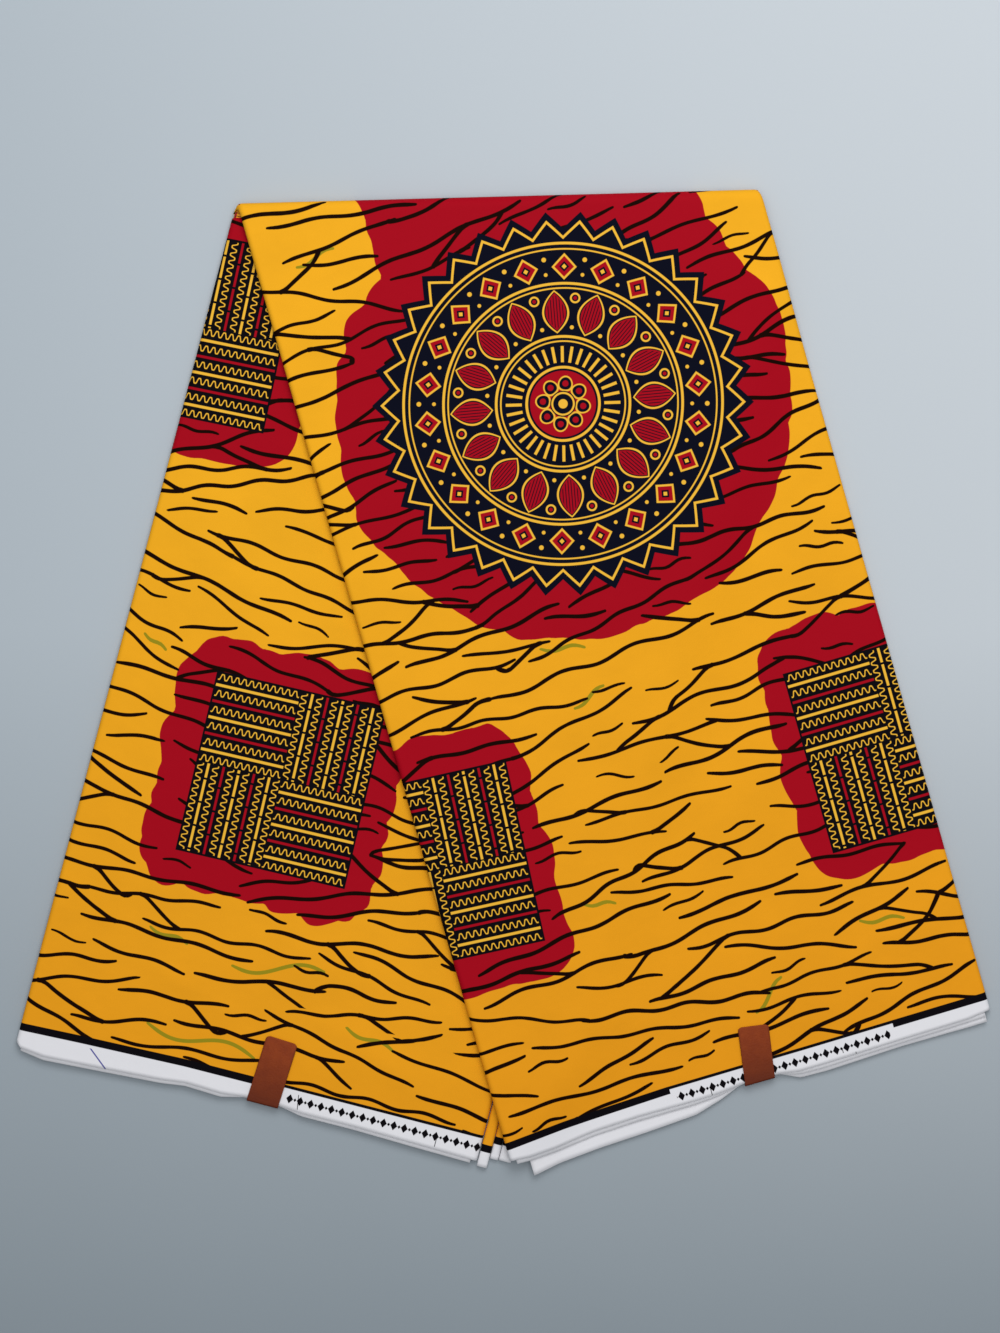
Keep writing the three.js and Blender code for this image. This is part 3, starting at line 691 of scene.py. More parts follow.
def basket_layers(tree, half, across, along):
    """Two patches of four blocks, each block with waves between yellow and red bars.
    The distance to a wave is its rise above the sine line, made shorter where that line is steep."""
    def unless(flag):
        """Far above any edge where the flag is 1 or more, and far below where it is 0."""
        return put(tree, "MULTIPLY_ADD", flag, 2 * FAR, -FAR)

    first, second, (axis, split) = PATCHES[half]
    later = put(tree, "GREATER_THAN", (across, along)[axis], split)
    here = (*first["corner"], math.radians(first["turn"]))
    there = (*second["corner"], math.radians(second["turn"]))
    spots = [put(tree, "MapRange", {0: later, 3: a, 4: b}) for a, b in zip(here, there)]
    u, w = put(tree, "SUBTRACT", across, spots[0]), put(tree, "SUBTRACT", along, spots[1])
    x = put(tree, "DIVIDE", put(tree, "MULTIPLY_ADD", w, spots[2], u), BLOCK[0])
    back_turn = put(tree, "MULTIPLY", spots[2], -1.0)
    y = put(tree, "DIVIDE", put(tree, "MULTIPLY_ADD", u, back_turn, w), BLOCK[1])
    far_side = put(tree, "MAXIMUM", apart(tree, x, 1.0), apart(tree, y, 1.0))
    outside = put(tree, "MULTIPLY", put(tree, "SUBTRACT", far_side, 1.0), BLOCK_RUN)
    odd = put(tree, "PINGPONG", put(tree, "ADD", put(tree, "FLOOR", x), put(tree, "FLOOR", y)), 1.0)
    in_x, in_y = put(tree, "FRACT", x), put(tree, "FRACT", y)
    line = put(tree, "MULTIPLY", put(tree, "Mix", {0: odd, 2: in_y, 3: in_x}), LINES)
    run = put(tree, "MULTIPLY", put(tree, "Mix", {0: odd, 2: in_x, 3: in_y}), BLOCK_RUN)
    off = put(tree, "MULTIPLY", put(tree, "SUBTRACT", put(tree, "FRACT", line), 0.5), LINE_PITCH)
    number = put(tree, "FLOOR", line)

    turn = put(tree, "MULTIPLY", run, 2 * math.pi / WAVE_LENGTH)
    sine = put(tree, "SINE", turn)
    square = put(tree, "MULTIPLY", sine, sine)
    line_up = put(tree, "MULTIPLY", sine, put(tree, "MULTIPLY_ADD", square, -WAVE_FULL, 1 + WAVE_FULL))
    fullness = put(tree, "MULTIPLY_ADD", square, -3 * WAVE_FULL, 1 + WAVE_FULL)
    slope = put(tree, "MULTIPLY", put(tree, "COSINE", turn), fullness)
    slope = put(tree, "MULTIPLY", slope, WAVE_HEIGHT * 2 * math.pi / WAVE_LENGTH)
    steep = put(tree, "SQRT", put(tree, "MULTIPLY_ADD", slope, slope, 1.0))
    rise = put(tree, "ABSOLUTE", put(tree, "MULTIPLY_ADD", line_up, -WAVE_HEIGHT, off))
    bar = put(tree, "ABSOLUTE", off)
    beyond = put(tree, "SUBTRACT", bar, WAVE_HEIGHT)
    wave = put(tree, "MAXIMUM", put(tree, "DIVIDE", rise, steep), beyond)

    odd_line = put(tree, "MODULO", number, 2.0)
    kind = put(tree, "MODULO", number, 4.0)
    stretch = put(tree, "DIVIDE", run, BREAK["pitch"])
    piece = put(tree, "FRACT", put(tree, "MULTIPLY_ADD", number, BREAK["shift"], stretch))
    broken = put(tree, "MULTIPLY", odd, put(tree, "LESS_THAN", piece, BREAK["share"]))
    margin = put(tree, "SUBTRACT", BAR_REACH, apart(tree, run, BLOCK_RUN / 2))
    hidden = put(tree, "MAXIMUM", put(tree, "ADD", outside, 1.0), put(tree, "MULTIPLY", margin, -1.0))
    no_wave = put(tree, "MAXIMUM", hidden, unless(odd_line))
    no_bar = put(tree, "MAXIMUM", hidden, unless(broken))
    not_yellow = put(tree, "MAXIMUM", no_bar, unless(apart(tree, kind, 1.0)))
    not_red = put(tree, "MAXIMUM", no_bar, unless(apart(tree, kind, 3.0)))
    return [
        (outside, PATCH_EDGE, BLACK),
        (put(tree, "MAXIMUM", wave, no_wave), WAVE_HALF, LINE_YELLOW),
        (put(tree, "MAXIMUM", bar, not_yellow), YELLOW_BAR, LINE_YELLOW),
        (put(tree, "MAXIMUM", bar, not_red), RED_BAR, RED),
    ]


def rosette_layers(tree, across, along):
    """Rings of rays, lozenges, petals and bars round a small flower."""
    x, y = put(tree, "SUBTRACT", across, ROSETTE[0]), put(tree, "SUBTRACT", along, ROSETTE[1])
    far = put(tree, "SQRT", put(tree, "MULTIPLY_ADD", x, x, put(tree, "MULTIPLY", y, y)))
    turns = put(tree, "DIVIDE", put(tree, "ARCTAN2", y, x), 2 * math.pi)

    def sector(count, shift=0.0):
        """Distance along the ring from the middle of the nearest of so many equal sectors."""
        cell = put(tree, "SUBTRACT", put(tree, "FRACT", put(tree, "MULTIPLY_ADD", turns, count, shift)), 0.5)
        return put(tree, "MULTIPLY", put(tree, "MULTIPLY", cell, 2 * math.pi / count), far)

    def ring(radius):
        return apart(tree, far, radius)

    def disc(arc, radius):
        out = put(tree, "SUBTRACT", far, radius)
        return put(tree, "SQRT", put(tree, "MULTIPLY_ADD", arc, arc, put(tree, "MULTIPLY", out, out)))

    def nested(value, inks):
        """One ink inside another."""
        return [(value, edge, ink) for edge, ink in inks]

    ray = put(tree, "ABSOLUTE", sector(RAYS["count"]))
    rim = put(tree, "ADD", far, put(tree, "MULTIPLY", ray, RAYS["slope"]))
    wide = put(tree, "MULTIPLY", put(tree, "ABSOLUTE", sector(LOZENGES["count"])), 1 / LOZENGES["half_wide"])
    tall = put(tree, "MULTIPLY", ring(LOZENGES["radius"]), 1 / LOZENGES["half_long"])
    lozenge = put(tree, "MULTIPLY", put(tree, "ADD", wide, tall), LOZENGES["size"])
    petal_arc = sector(PETALS["count"])
    along_petal = put(tree, "SUBTRACT", far, PETALS["radius"])
    along_petal = put(tree, "DIVIDE", along_petal, PETALS["half_long"])
    bulge = put(tree, "MULTIPLY", along_petal, along_petal)
    bulge = put(tree, "MULTIPLY_ADD", bulge, -PETALS["half_wide"], PETALS["half_wide"])
    petal = put(tree, "SUBTRACT", put(tree, "ABSOLUTE", petal_arc), bulge)
    stripe = put(tree, "PINGPONG", put(tree, "ADD", petal_arc, PETALS["stripe"]), PETALS["stripe"])
    stripe = put(tree, "MAXIMUM", put(tree, "ADD", petal, 3.1), put(tree, "SUBTRACT", stripe, 0.28))
    beside_bar = put(tree, "SUBTRACT", put(tree, "ABSOLUTE", sector(BARS["count"])), BARS["half_wide"])
    bars = put(tree, "MAXIMUM", beside_bar, put(tree, "SUBTRACT", ring(BARS["radius"]), BARS["half_long"]))

    layers = [(rim, RAYS["edge"], NAVY), (apart(tree, rim, RAYS["line"]), RAYS["line_half"], LINE_YELLOW)]
    layers += [(ring(radius), half, LINE_YELLOW) for radius, half in RINGS]
    layers += nested(lozenge, LOZENGES["inks"]) + nested(petal, PETALS["inks"]) + [(stripe, 0.0, NAVY)]
    for dots in DOTS:
        layers += nested(disc(sector(dots["count"], 0.5), dots["radius"]), dots["inks"])
    layers += [(bars, 0.0, LINE_YELLOW), (far, FLOWER["ground"], RED)]
    layers += nested(disc(sector(FLOWER["count"]), FLOWER["radius"]), FLOWER["inks"])
    return layers + [(far, HEART["ground"], NAVY), (ring(HEART["ring"]), HEART["ring_half"], LINE_YELLOW),
                     (far, HEART["dot"], LINE_YELLOW)]


BORDER_WIDTH, BORDER_CUT = 4.9, 2.9
MARKS = {"step": 3.5, "level": 3.4, "size": 3.1, "lozenge": 1.35, "dot": 1.2, "dot_less": 1.9, "margin": 6.5}


def selvedge_layers(tree, across, past, zone, ticks):
    """Black border and white selvedge. In one stretch the border is thin, with plain lozenges below it."""
    middle, reach = (zone[0] + zone[1]) / 2, (zone[1] - zone[0]) / 2
    beside = put(tree, "SUBTRACT", apart(tree, across, middle), reach)
    in_zone = put(tree, "LESS_THAN", beside, 0.0)
    white = put(tree, "SUBTRACT", put(tree, "MULTIPLY", in_zone, -BORDER_CUT), past)
    step = put(tree, "PINGPONG", across, MARKS["step"])
    level = apart(tree, past, MARKS["level"])
    lozenge = put(tree, "MULTIPLY_ADD", step, MARKS["lozenge"], level)
    dot_level = put(tree, "ADD", level, MARKS["dot_less"])
    dot = put(tree, "MULTIPLY_ADD", put(tree, "SUBTRACT", MARKS["step"], step), MARKS["dot"], dot_level)
    near_end = put(tree, "ADD", beside, MARKS["margin"])
    marks = put(tree, "MAXIMUM", put(tree, "MINIMUM", lozenge, dot), near_end)
    border = put(tree, "MULTIPLY_ADD", past, -1.0, -BORDER_WIDTH)
    layers = [(border, 0.0, BLACK), (white, 0.0, WHITE), (marks, MARKS["size"], BLACK)]
    for (start_across, start), (end_across, end), half_width, ink in ticks:
        lean = (end_across - start_across) / (end - start)
        centre = put(tree, "MULTIPLY_ADD", past, lean, start_across - start * lean)
        line = apart(tree, across, centre)
        beyond = put(tree, "SUBTRACT", apart(tree, past, (start + end) / 2), (end - start) / 2 - half_width)
        layers.append((put(tree, "MAXIMUM", line, beyond), half_width * math.hypot(1, lean), ink))
    return layers


ZONES = {"front": (112.5, 264.0), "back": (176.0, 345.0)}
NO_ZONE = (900.0, 910.0)
TICKS = {
    "front": [
        ((138.4, 4.0), (138.4, 8.5), 0.25, BLACK), ((228.0, 3.5), (228.0, 6.5), 0.25, BLACK),
        ((236.0, 8.0), (236.0, 10.5), 0.25, BLACK),
    ],
    "back": [
        ((187.0, -0.5), (188.5, 9.0), 0.25, BLACK), ((281.0, 4.0), (281.0, 10.0), 0.25, BLACK),
        ((48.5, 2.2), (62.3, 14.0), 0.45, PEN_BLUE),
    ],
}
# A noise scale is one over a length in millimetres: blots of about 60 mm, puckers of about 20 mm.
BLOT_SCALE, PUCKER_SCALE, TREMBLE_SCALE = 0.016, 0.045, 0.1
TREMBLE, VEIN_EDGE = 0.3, 1.15
# Painted shade: between these distances along the strip the yellow turns darker towards the selvedges.
PAINTED_SHADE_START, PAINTED_SHADE_END = 200.0, 640.0
# The real threads are about 0.35 mm apart. That is too fine for this view, so they are drawn about
# three times as coarse.
THREAD_PITCH = 1.1


def stroke_side(tree, name):
    """The arrow's length to a group's strokes, 1 at their edge, and over 1 wherever that edge isn't near."""
    x, y, gap = put(tree, "SeparateXYZ", put(tree, "Attribute", attribute_name=name, out=1)).node.outputs
    length = put(tree, "SQRT", put(tree, "MULTIPLY_ADD", x, x, put(tree, "MULTIPLY", y, y)))
    clear = put(tree, "MULTIPLY_ADD", gap, CLEAR_SLOPE, 1.0 - CLEAR_SLOPE * CLEAR_GAP)
    return put(tree, "MAXIMUM", length, clear)


def wax_print(name, half, motifs=True):
    """Wax-dyed plain-weave cotton: matt, without gloss, on a slightly uneven ground, with painted shade that
    darkens the yellow along the strip towards the selvedges.
    """
    material, tree = new_material(name)
    strip = put(tree, "Attribute", attribute_name="strip", out=1)
    across, along, past = put(tree, "SeparateXYZ", strip).node.outputs
    blot = put(tree, "TexNoise", {"Vector": strip, "Scale": BLOT_SCALE, "Detail": 4.0, "Roughness": 0.6})
    # Painted shade: the yellow turns darker along the strip towards the selvedges, where the light falls off.
    painted_shade_ramp = put(tree, "MapRange", {0: along, 1: PAINTED_SHADE_START, 2: PAINTED_SHADE_END})
    yellow = put(tree, "Mix", {0: painted_shade_ramp, 6: YELLOW_NEAR, 7: YELLOW_IN_PAINTED_SHADE}, out=2, data_type="RGBA")
    lift = put(tree, "MapRange", {0: blot, 1: 0.3, 2: 0.7, 3: 0.95, 4: 1.03})
    yellow = put(tree, "VectorMath", {0: yellow, 3: lift}, operation="SCALE")
    cloud = put(tree, "Attribute", attribute_name="cloud", out=2)
    tremble = put(tree, "TexNoise", {"Vector": strip, "Scale": TREMBLE_SCALE, "Detail": 1.0})
    nearest = stroke_side(tree, VEIN_NAMES[0])
    for other in VEIN_NAMES[1:]:
        nearest = put(tree, "MINIMUM", nearest, stroke_side(tree, other))
    to_vein = put(tree, "MULTIPLY_ADD", tremble, TREMBLE, nearest)
    olive_side = stroke_side(tree, "olive")
    layers = [(cloud, 0.0, RED), (olive_side, 1.0, OLIVE), (to_vein, VEIN_EDGE, VEIN_INK)]
    if motifs:
        layers += basket_layers(tree, half, across, along)
        if half == "front":
            layers += rosette_layers(tree, across, along)
    layers += selvedge_layers(tree, across, past, ZONES[half], TICKS[half] if motifs else [])
    ink = print_inks(tree, yellow, layers)
    threads = [put(tree, "SINE", put(tree, "MULTIPLY", way, 2 * math.pi / THREAD_PITCH))
               for way in (across, along)]
    weave = put(tree, "MULTIPLY", *threads)
    pucker = put(tree, "TexNoise", {"Vector": strip, "Scale": PUCKER_SCALE, "Detail": 2.0})
    soft = put(tree, "Bump", {"Height": pucker, "Strength": 0.35, "Distance": 0.0012})
    normal = put(tree, "Bump", {"Height": weave, "Strength": 0.22, "Distance": 0.0001, "Normal": soft})
    skin = put(tree, "BsdfPrincipled", {
        "Base Color": ink, "Roughness": 0.62, "Specular IOR Level": 0.03, "Normal": normal,
    })
    put(tree, "OutputMaterial", skin)
    print(name, len(tree.nodes), "nodes")
    return material


front_print = wax_print("wax_print_front", "front")
back_print = wax_print("wax_print_back", "back")

# %% [markdown]
# The two visible halves. Each is one sheet of cotton. The front one also wraps the main fold down
# to the floor. The back one is cut in at its lower right corner, where the pleats come out.
# Solidify gives both a wall like real cloth, a little thicker than the real 0.3 mm.
# %% Front and back faces
TUCK = 3.0
NOTCH = {"right": 310.2, "start": 504.0, "run": 2.4}
BACK_REACH = 570.0
FRONT_ROWS, BACK_ROWS = 272, 246


def wall(thing, thickness=CLOTH):
    solid = thing.modifiers.new("cloth", "SOLIDIFY")
    solid.thickness, solid.offset = thickness / 1000, -1


def finish_piece(thing, node):
    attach(thing, "root")
    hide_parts(node)


def face_sheet(name, half, rows, material):
    mesh, p, q = flat_grid(name, COLUMNS, rows)
    if half == "front":
        across, depth = across_sheet(p, 0.0, STRIP_WIDTH)
        along = mix(read(FRONT_ENDS, "face", across), fold_end(across), q)
        points = place(across, along, BUNDLE - depth + crease_rise(half, across, along))
        past = along - read(FRONT_BORDER, "end", across)
    else:
        along = mix(-BACK_REACH, fold_end(p * STRIP_WIDTH) - TUCK, q)
        right = mix(STRIP_WIDTH, NOTCH["right"], ease((-along - NOTCH["start"]) / NOTCH["run"]))
        across, depth = across_sheet(p, 0.0, right)
        along = mix(-read(BACK_ENDS, "face", across), fold_end(across) - TUCK, q)
        points = place(across, along, depth - crease_rise(half, across, -along))
        past = -along - read(BACK_BORDER, "end", across)
    move_to(mesh, points)
    keep_print(mesh, half, across, along if half == "front" else -along, past)
    keep_bake_map(mesh, p, q)
    thing = new_object(name, mesh, material)
    wall(thing)
    return thing


front_face = face_sheet("front_cloth", "front", FRONT_ROWS, front_print)
finish_piece(front_face, "front_face")
back_face = face_sheet("back_cloth", "back", BACK_ROWS, back_print)
finish_piece(back_face, "back_face")
print("front", len(front_face.data.polygons), "back", len(back_face.data.polygons))

# %% [markdown]
# The hidden layers. Under the visible sheets lie seven more folds of the same cloth, each two plies
# thick. From the sides they show as a stack of rounded folds, and they turn round the main fold one
# inside the other. A grid is rolled into a flat tube, its seam and its pinched ends are merged, and
# the tubes lie on each other with uneven edges, as folded cloth does.
# %% Folded layers
FOLDS = 7
FLAT_STEPS, TURN_STEPS = 26, 4
RING = 2 * (FLAT_STEPS + TURN_STEPS)
FOLD_ROWS = 86
FOLD_HALF = 0.37
FOLD_PITCH = 0.82
FOLD_FIRST = 0.41
BACK_LIFT = 0.45
# Shares of a fold's rows: front end, its roll, start and end of the main fold, back roll, back end.
KNOTS = (0, 0.0035, 0.42, 0.56, 0.9965, 1)
FRONT_FOLD_END = {"long": 634.0, "short": 604.5}
BACK_FOLD_END = {"long": 556.5, "short": 545.0}
LOW_FOLDS = 3
END_ROLL, END_SPREAD = 0.5, 1.5
SLACK, SIDE_ROOM, BULGE = 0.7, 0.45, 0.45
SWAY = {"height": 0.25, "length": 47, "middle": 0.3}
HIDDEN_GAP = 0.15
NOTCH_FOLDS = 502
PRINT_SHIFT = 40
EDGE_MARKS = {"pitch": 15.0, "half": 1.1, "cloud": 90.0, "cloud_share": 0.56, "cloud_slope": 200.0}


def tube_ring():
    """Share of the width, sideways turn and level of each point round a flat tube."""
    flat = np.linspace(0, 1, FLAT_STEPS)
    turn = np.pi * np.arange(1, TURN_STEPS + 1) / (TURN_STEPS + 1)
    share = np.concatenate([flat, np.ones(TURN_STEPS), flat[::-1], np.zeros(TURN_STEPS)])
    bulge = np.concatenate([flat * 0, np.sin(turn), flat * 0, -np.sin(turn)])
    level = np.concatenate([flat * 0 + 1, np.cos(turn), flat * 0 - 1, -np.cos(turn)])
    return share, bulge, level


def hidden_inset(depth):
    """How far a hidden fold stays in from the side, inside the sheet that turns down over it."""
    inner = EDGE_RADIUS - CLOTH
    rise = EDGE_RADIUS - np.minimum(depth, EDGE_RADIUS)
    under = EDGE_RADIUS - np.sqrt(np.maximum(0, inner * inner - rise * rise)) + HIDDEN_GAP
    return np.where(depth < EDGE_RADIUS + EDGE_HEM + 0.1, under, HIDDEN_GAP)


def fold_tube(number, rng):
    """One hidden fold as a flat tube, from its front end over the main fold to its back end."""
    mesh, p, q = flat_grid("fold", RING, FOLD_ROWS)
    share, bulge, level = (part[np.rint(p * RING).astype(int) % RING] for part in tube_ring())
    middle = FOLD_FIRST + FOLD_PITCH * number
    slack = rng.uniform(0, SLACK, 4)
    front_end = FRONT_FOLD_END["long"] if number < LOW_FOLDS else FRONT_FOLD_END["short"] + number
    front_end += rng.uniform(-END_SPREAD, END_SPREAD)
    back_end = BACK_FOLD_END["long"] if number > LOW_FOLDS else BACK_FOLD_END["short"]
    back_end += rng.uniform(-END_SPREAD, END_SPREAD)
    guess = share * STRIP_WIDTH
    stops = [front_end, front_end - END_ROLL, fold_start(guess), fold_end(guess),
             END_ROLL - back_end, -back_end]
    along = np.zeros_like(q)
    for a, b, start, stop in zip(KNOTS, KNOTS[1:], stops, stops[1:]):
        inside = (q >= a) & (q <= b)
        along = np.where(inside, mix(start, stop, (q - a) / (b - a)), along)
    back = ease((fold_start(guess) - along) / (fold_start(guess) - fold_end(guess)))
    height = middle + BACK_LIFT * back
    right = np.where(along < -NOTCH_FOLDS, NOTCH["right"], STRIP_WIDTH)
    cover_depth = mix(BUNDLE - middle, middle + BACK_LIFT, back)
    lap = hidden_inset(cover_depth)
    sway = SWAY["height"] * np.sin(along / SWAY["length"] + number) + SWAY["middle"]
    left_edge = lap + SIDE_ROOM + slack[0] + sway * slack[1]
    right_edge = right - lap - SIDE_ROOM - slack[2] - sway * slack[3]
    across = mix(left_edge, right_edge, share) + BULGE * bulge
    pinch = np.clip(np.minimum(q, 1 - q) * FOLD_ROWS, 0, 1)
    points = place(across, along, height + FOLD_HALF * level * pinch, 1 - cover_depth / BUNDLE)
    move_to(mesh, points)
    past_front = along - read(FRONT_BORDER, "end", across)
    past_back = -along - read(BACK_BORDER, "end", across)
    past = np.where(along > 0, past_front, past_back)
    keep(mesh, "strip", np.stack([across, along + PRINT_SHIFT * number, past], -1))
    return mesh


def clean(mesh, fill=False):
    """Merges doubled vertices, closes open ends where asked, and turns all faces outwards."""
    shape = bmesh.new()
    shape.from_mesh(mesh)
    bmesh.ops.remove_doubles(shape, verts=shape.verts, dist=1e-6)
    if fill:
        bmesh.ops.holes_fill(shape, edges=shape.edges, sides=0)
    bmesh.ops.recalc_face_normals(shape, faces=shape.faces)
    shape.to_mesh(mesh)
    shape.free()


def merged(meshes, name):
    """One mesh of several, each cleaned by itself."""
    shape = bmesh.new()
    for mesh in meshes:
        clean(mesh)
        shape.from_mesh(mesh)
        bpy.data.meshes.remove(mesh)
    whole = bpy.data.meshes.new(name)
    shape.to_mesh(whole)
    shape.free()
    return whole


def edge_print(name):
    """The same cloth seen on its folds, where veins and clouds show as short marks along the edge."""
    material, tree = new_material(name)
    strip = put(tree, "Attribute", attribute_name="strip", out=1)
    across, along, past = put(tree, "SeparateXYZ", strip).node.outputs
    cut = put(tree, "TexVoronoi", {"W": put(tree, "MULTIPLY", along, 1 / EDGE_MARKS["pitch"])},
              voronoi_dimensions="1D", feature="DISTANCE_TO_EDGE")
    cut = put(tree, "MULTIPLY", cut, EDGE_MARKS["pitch"])
    patch = put(tree, "TexNoise", {"W": put(tree, "MULTIPLY", along, 1 / EDGE_MARKS["cloud"])},
                noise_dimensions="1D")
    cloud = put(tree, "SUBTRACT", EDGE_MARKS["cloud_share"], patch)
    cloud = put(tree, "MULTIPLY", cloud, EDGE_MARKS["cloud_slope"])
    layers = [(cloud, 0.0, RED), (cut, EDGE_MARKS["half"], VEIN_INK)]
    layers += selvedge_layers(tree, across, past, NO_ZONE, [])
    # The ground is the darker yellow of the painted shade on the two faces.
    ink = print_inks(tree, YELLOW_IN_PAINTED_SHADE, layers)
    grain = put(tree, "TexNoise", {"Vector": strip, "Scale": 1.2, "Detail": 2.0})
    normal = put(tree, "Bump", {"Height": grain, "Strength": 0.25, "Distance": 0.0003})
    skin = put(tree, "BsdfPrincipled", {
        "Base Color": ink, "Roughness": 0.7, "Specular IOR Level": 0.25, "Normal": normal})
    put(tree, "OutputMaterial", skin)
    return material


fold_print = edge_print("wax_print_folds")
fold_rng = np.random.default_rng(5)
folds_mesh = merged([fold_tube(number, fold_rng) for number in range(FOLDS)], "folded_layers")
folds = new_object("folded_layers", folds_mesh, fold_print)
finish_piece(folds, "inner_layers")
print("folded layers", len(folds_mesh.polygons))

# %% [markdown]
# Selvedges that show below the two faces. Cloth is never folded so neatly that its selvedges meet,
# so white edges of the next layers stand out by a few millimetres. Each visible one is a ply with a
# shorter one under it, which fills the gap that shows from in front.
# %% Loose selvedges
LEAF_COLUMNS, LEAF_ROWS = 110, 16
LEAF_START = {"front": 604.5, "back": 524.5}
LEAF_WALL = 0.35
FLUTTER = {"height": 0.5, "length": 38, "free": 2.4, "change": 3}
LEAVES = (
    {"name": "front_selvedge_upper", "node": "front_leaf_upper", "half": "front", "column": "upper",
     "left": 4.2, "right": 323.8, "depths": (1.2, 1.75), "shorter": (0, 1.6), "length": 41},
    {"name": "front_selvedge_lower", "node": "front_leaf_lower", "half": "front", "column": "lower",
     "left": 12.6, "right": 323.8, "depths": (2.5, 3.05), "shorter": (0, 2.2), "length": 47},
    {"name": "back_selvedge", "node": "back_leaf", "half": "back", "column": "leaf",
     "left": 4.2, "right": 306.0, "depths": (1.2, 1.75), "shorter": (0, 1.8), "length": 44},
)


def leaf_ply(leaf, depth, shorter):
    mesh, p, q = flat_grid("ply", LEAF_COLUMNS, LEAF_ROWS)
    across = mix(leaf["left"], leaf["right"], p)
    table, border = (FRONT_ENDS, FRONT_BORDER) if leaf["half"] == "front" else (BACK_ENDS, BACK_BORDER)
    end = read(table, leaf["column"], across) - shorter
    along = mix(end, LEAF_START[leaf["half"]], q)
    row = depth * FLUTTER["change"]
    wave = np.array([noise.noise(Vector((u / FLUTTER["length"], row, 0.0))) for u in across])
    lift = FLUTTER["height"] * ease(1 - q * FLUTTER["free"]) * wave
    if leaf["half"] == "front":
        points = place(across, along, BUNDLE - depth + lift)
    else:
        points = place(across, -along, depth - lift)
    move_to(mesh, points)
    keep_plain(mesh, across, along, along - read(border, "end", across))
    return mesh


def leaf_piece(leaf):
    plies = [leaf_ply(leaf, depth, shorter) for depth, shorter in zip(leaf["depths"], leaf["shorter"])]
    thing = new_object(leaf["name"], merged(plies, leaf["name"]), selvedge_print[leaf["half"]])
    wall(thing, LEAF_WALL)
    finish_piece(thing, leaf["node"])
    return thing


selvedge_print = {half: wax_print("white_selvedge_" + half, half, motifs=False) for half in ("front", "back")}
leaf_things = [leaf_piece(leaf) for leaf in LEAVES]
print("leaves", [thing.name for thing in leaf_things])

# %% [markdown]
# Three small folds fan out beside the lower right corner of the back half, where the hidden layers
# come out from under the front half. Each is a short rounded tube of cloth, closed at both ends.
# %% Centre pleats
PLEATS = (
    {"name": "centre_pleat_1", "left": 310.8, "right": 317.6, "top": 5.0, "end": 571.0},
    {"name": "centre_pleat_2", "left": 317.9, "right": 323.5, "top": 4.0, "end": 564.3},
    {"name": "centre_pleat_3", "left": 323.8, "right": 332.0, "top": 4.6, "end": 563.8},
)
PLEAT_START = 505.3
PLEAT_ROWS = 26
PLEAT_RADIUS, PLEAT_RADIUS_SHARE = 2.2, 0.6
PLEAT_TAPER = 0.8
PLEAT_END = {"start": 0.9, "run": 0.1, "level": 0.4, "pull": 0.25}
PLEAT_FOOT = {"in": 0.4, "rise": 0.6}
PLEAT_BORDER = 10.0


def pleat_profile(pleat):
    """Points of half a rounded fold, from one foot over the top to the other."""
    peak = pleat["top"]
    radius = min(PLEAT_RADIUS, peak * PLEAT_RADIUS_SHARE)
    angle = np.linspace(0, math.pi / 2, 5)
    inset, height = radius * (1 - np.sin(angle)), peak - radius * (1 - np.cos(angle))
    left, right = pleat["left"], pleat["right"]
    foot_in, foot_rise = PLEAT_FOOT["in"], PLEAT_FOOT["rise"]
    across = [left + foot_in, left, *(left + inset[::-1]), *(right - inset), right, right - foot_in]
    rise = [0, foot_rise, *height[::-1], *height, foot_rise, 0]
    return np.array(across), np.array(rise)


def pleat_piece(pleat):
    full_across, full_rise = pleat_profile(pleat)
    points_round = len(full_across)
    mesh, p, q = flat_grid(pleat["name"], points_round, PLEAT_ROWS)
    index = np.rint(p * points_round).astype(int) % points_round
    step = 1 - q
    across, rise = full_across[index], full_rise[index] * mix(1, PLEAT_TAPER, step * step)
    along = -mix(PLEAT_START, pleat["end"], step)
    end_round = ease((step - PLEAT_END["start"]) / PLEAT_END["run"])
    rise = mix(rise, pleat["top"] * PLEAT_END["level"], PLEAT_END["pull"] * end_round)
    move_to(mesh, place(across, along, BUNDLE - rise, 0))
    keep_plain(mesh, across, -along, -along - pleat["end"] + PLEAT_BORDER)
    clean(mesh, fill=True)
    thing = new_object(pleat["name"] + "_cloth", mesh, pleat_print)
    finish_piece(thing, pleat["name"])
    return thing


pleat_print = wax_print("wax_print_pleats", "front", motifs=False)
pleat_things = [pleat_piece(pleat) for pleat in PLEATS]
print("pleats", [thing.name for thing in pleat_things])

# %% [markdown]
# The labels. A short strap of brown leather board is bent round the stack of selvedges and holds
# them together. Its front leg lies on the cloth and a short leg goes back underneath. The strap is
# a grid along that path, given a wall, with its edges softened by a small bevel.
# %% Leather labels
LABEL_WALL = 1.0
LABEL_BEND = 0.5
LABEL_RETURN = 6.0
LABEL_CORNER = 2.2
LABEL_COLUMNS, LABEL_ROWS = 12, 64
LABEL_PRESS = 12
TOP_SHARE, BEND_SHARE = 0.62, 0.9


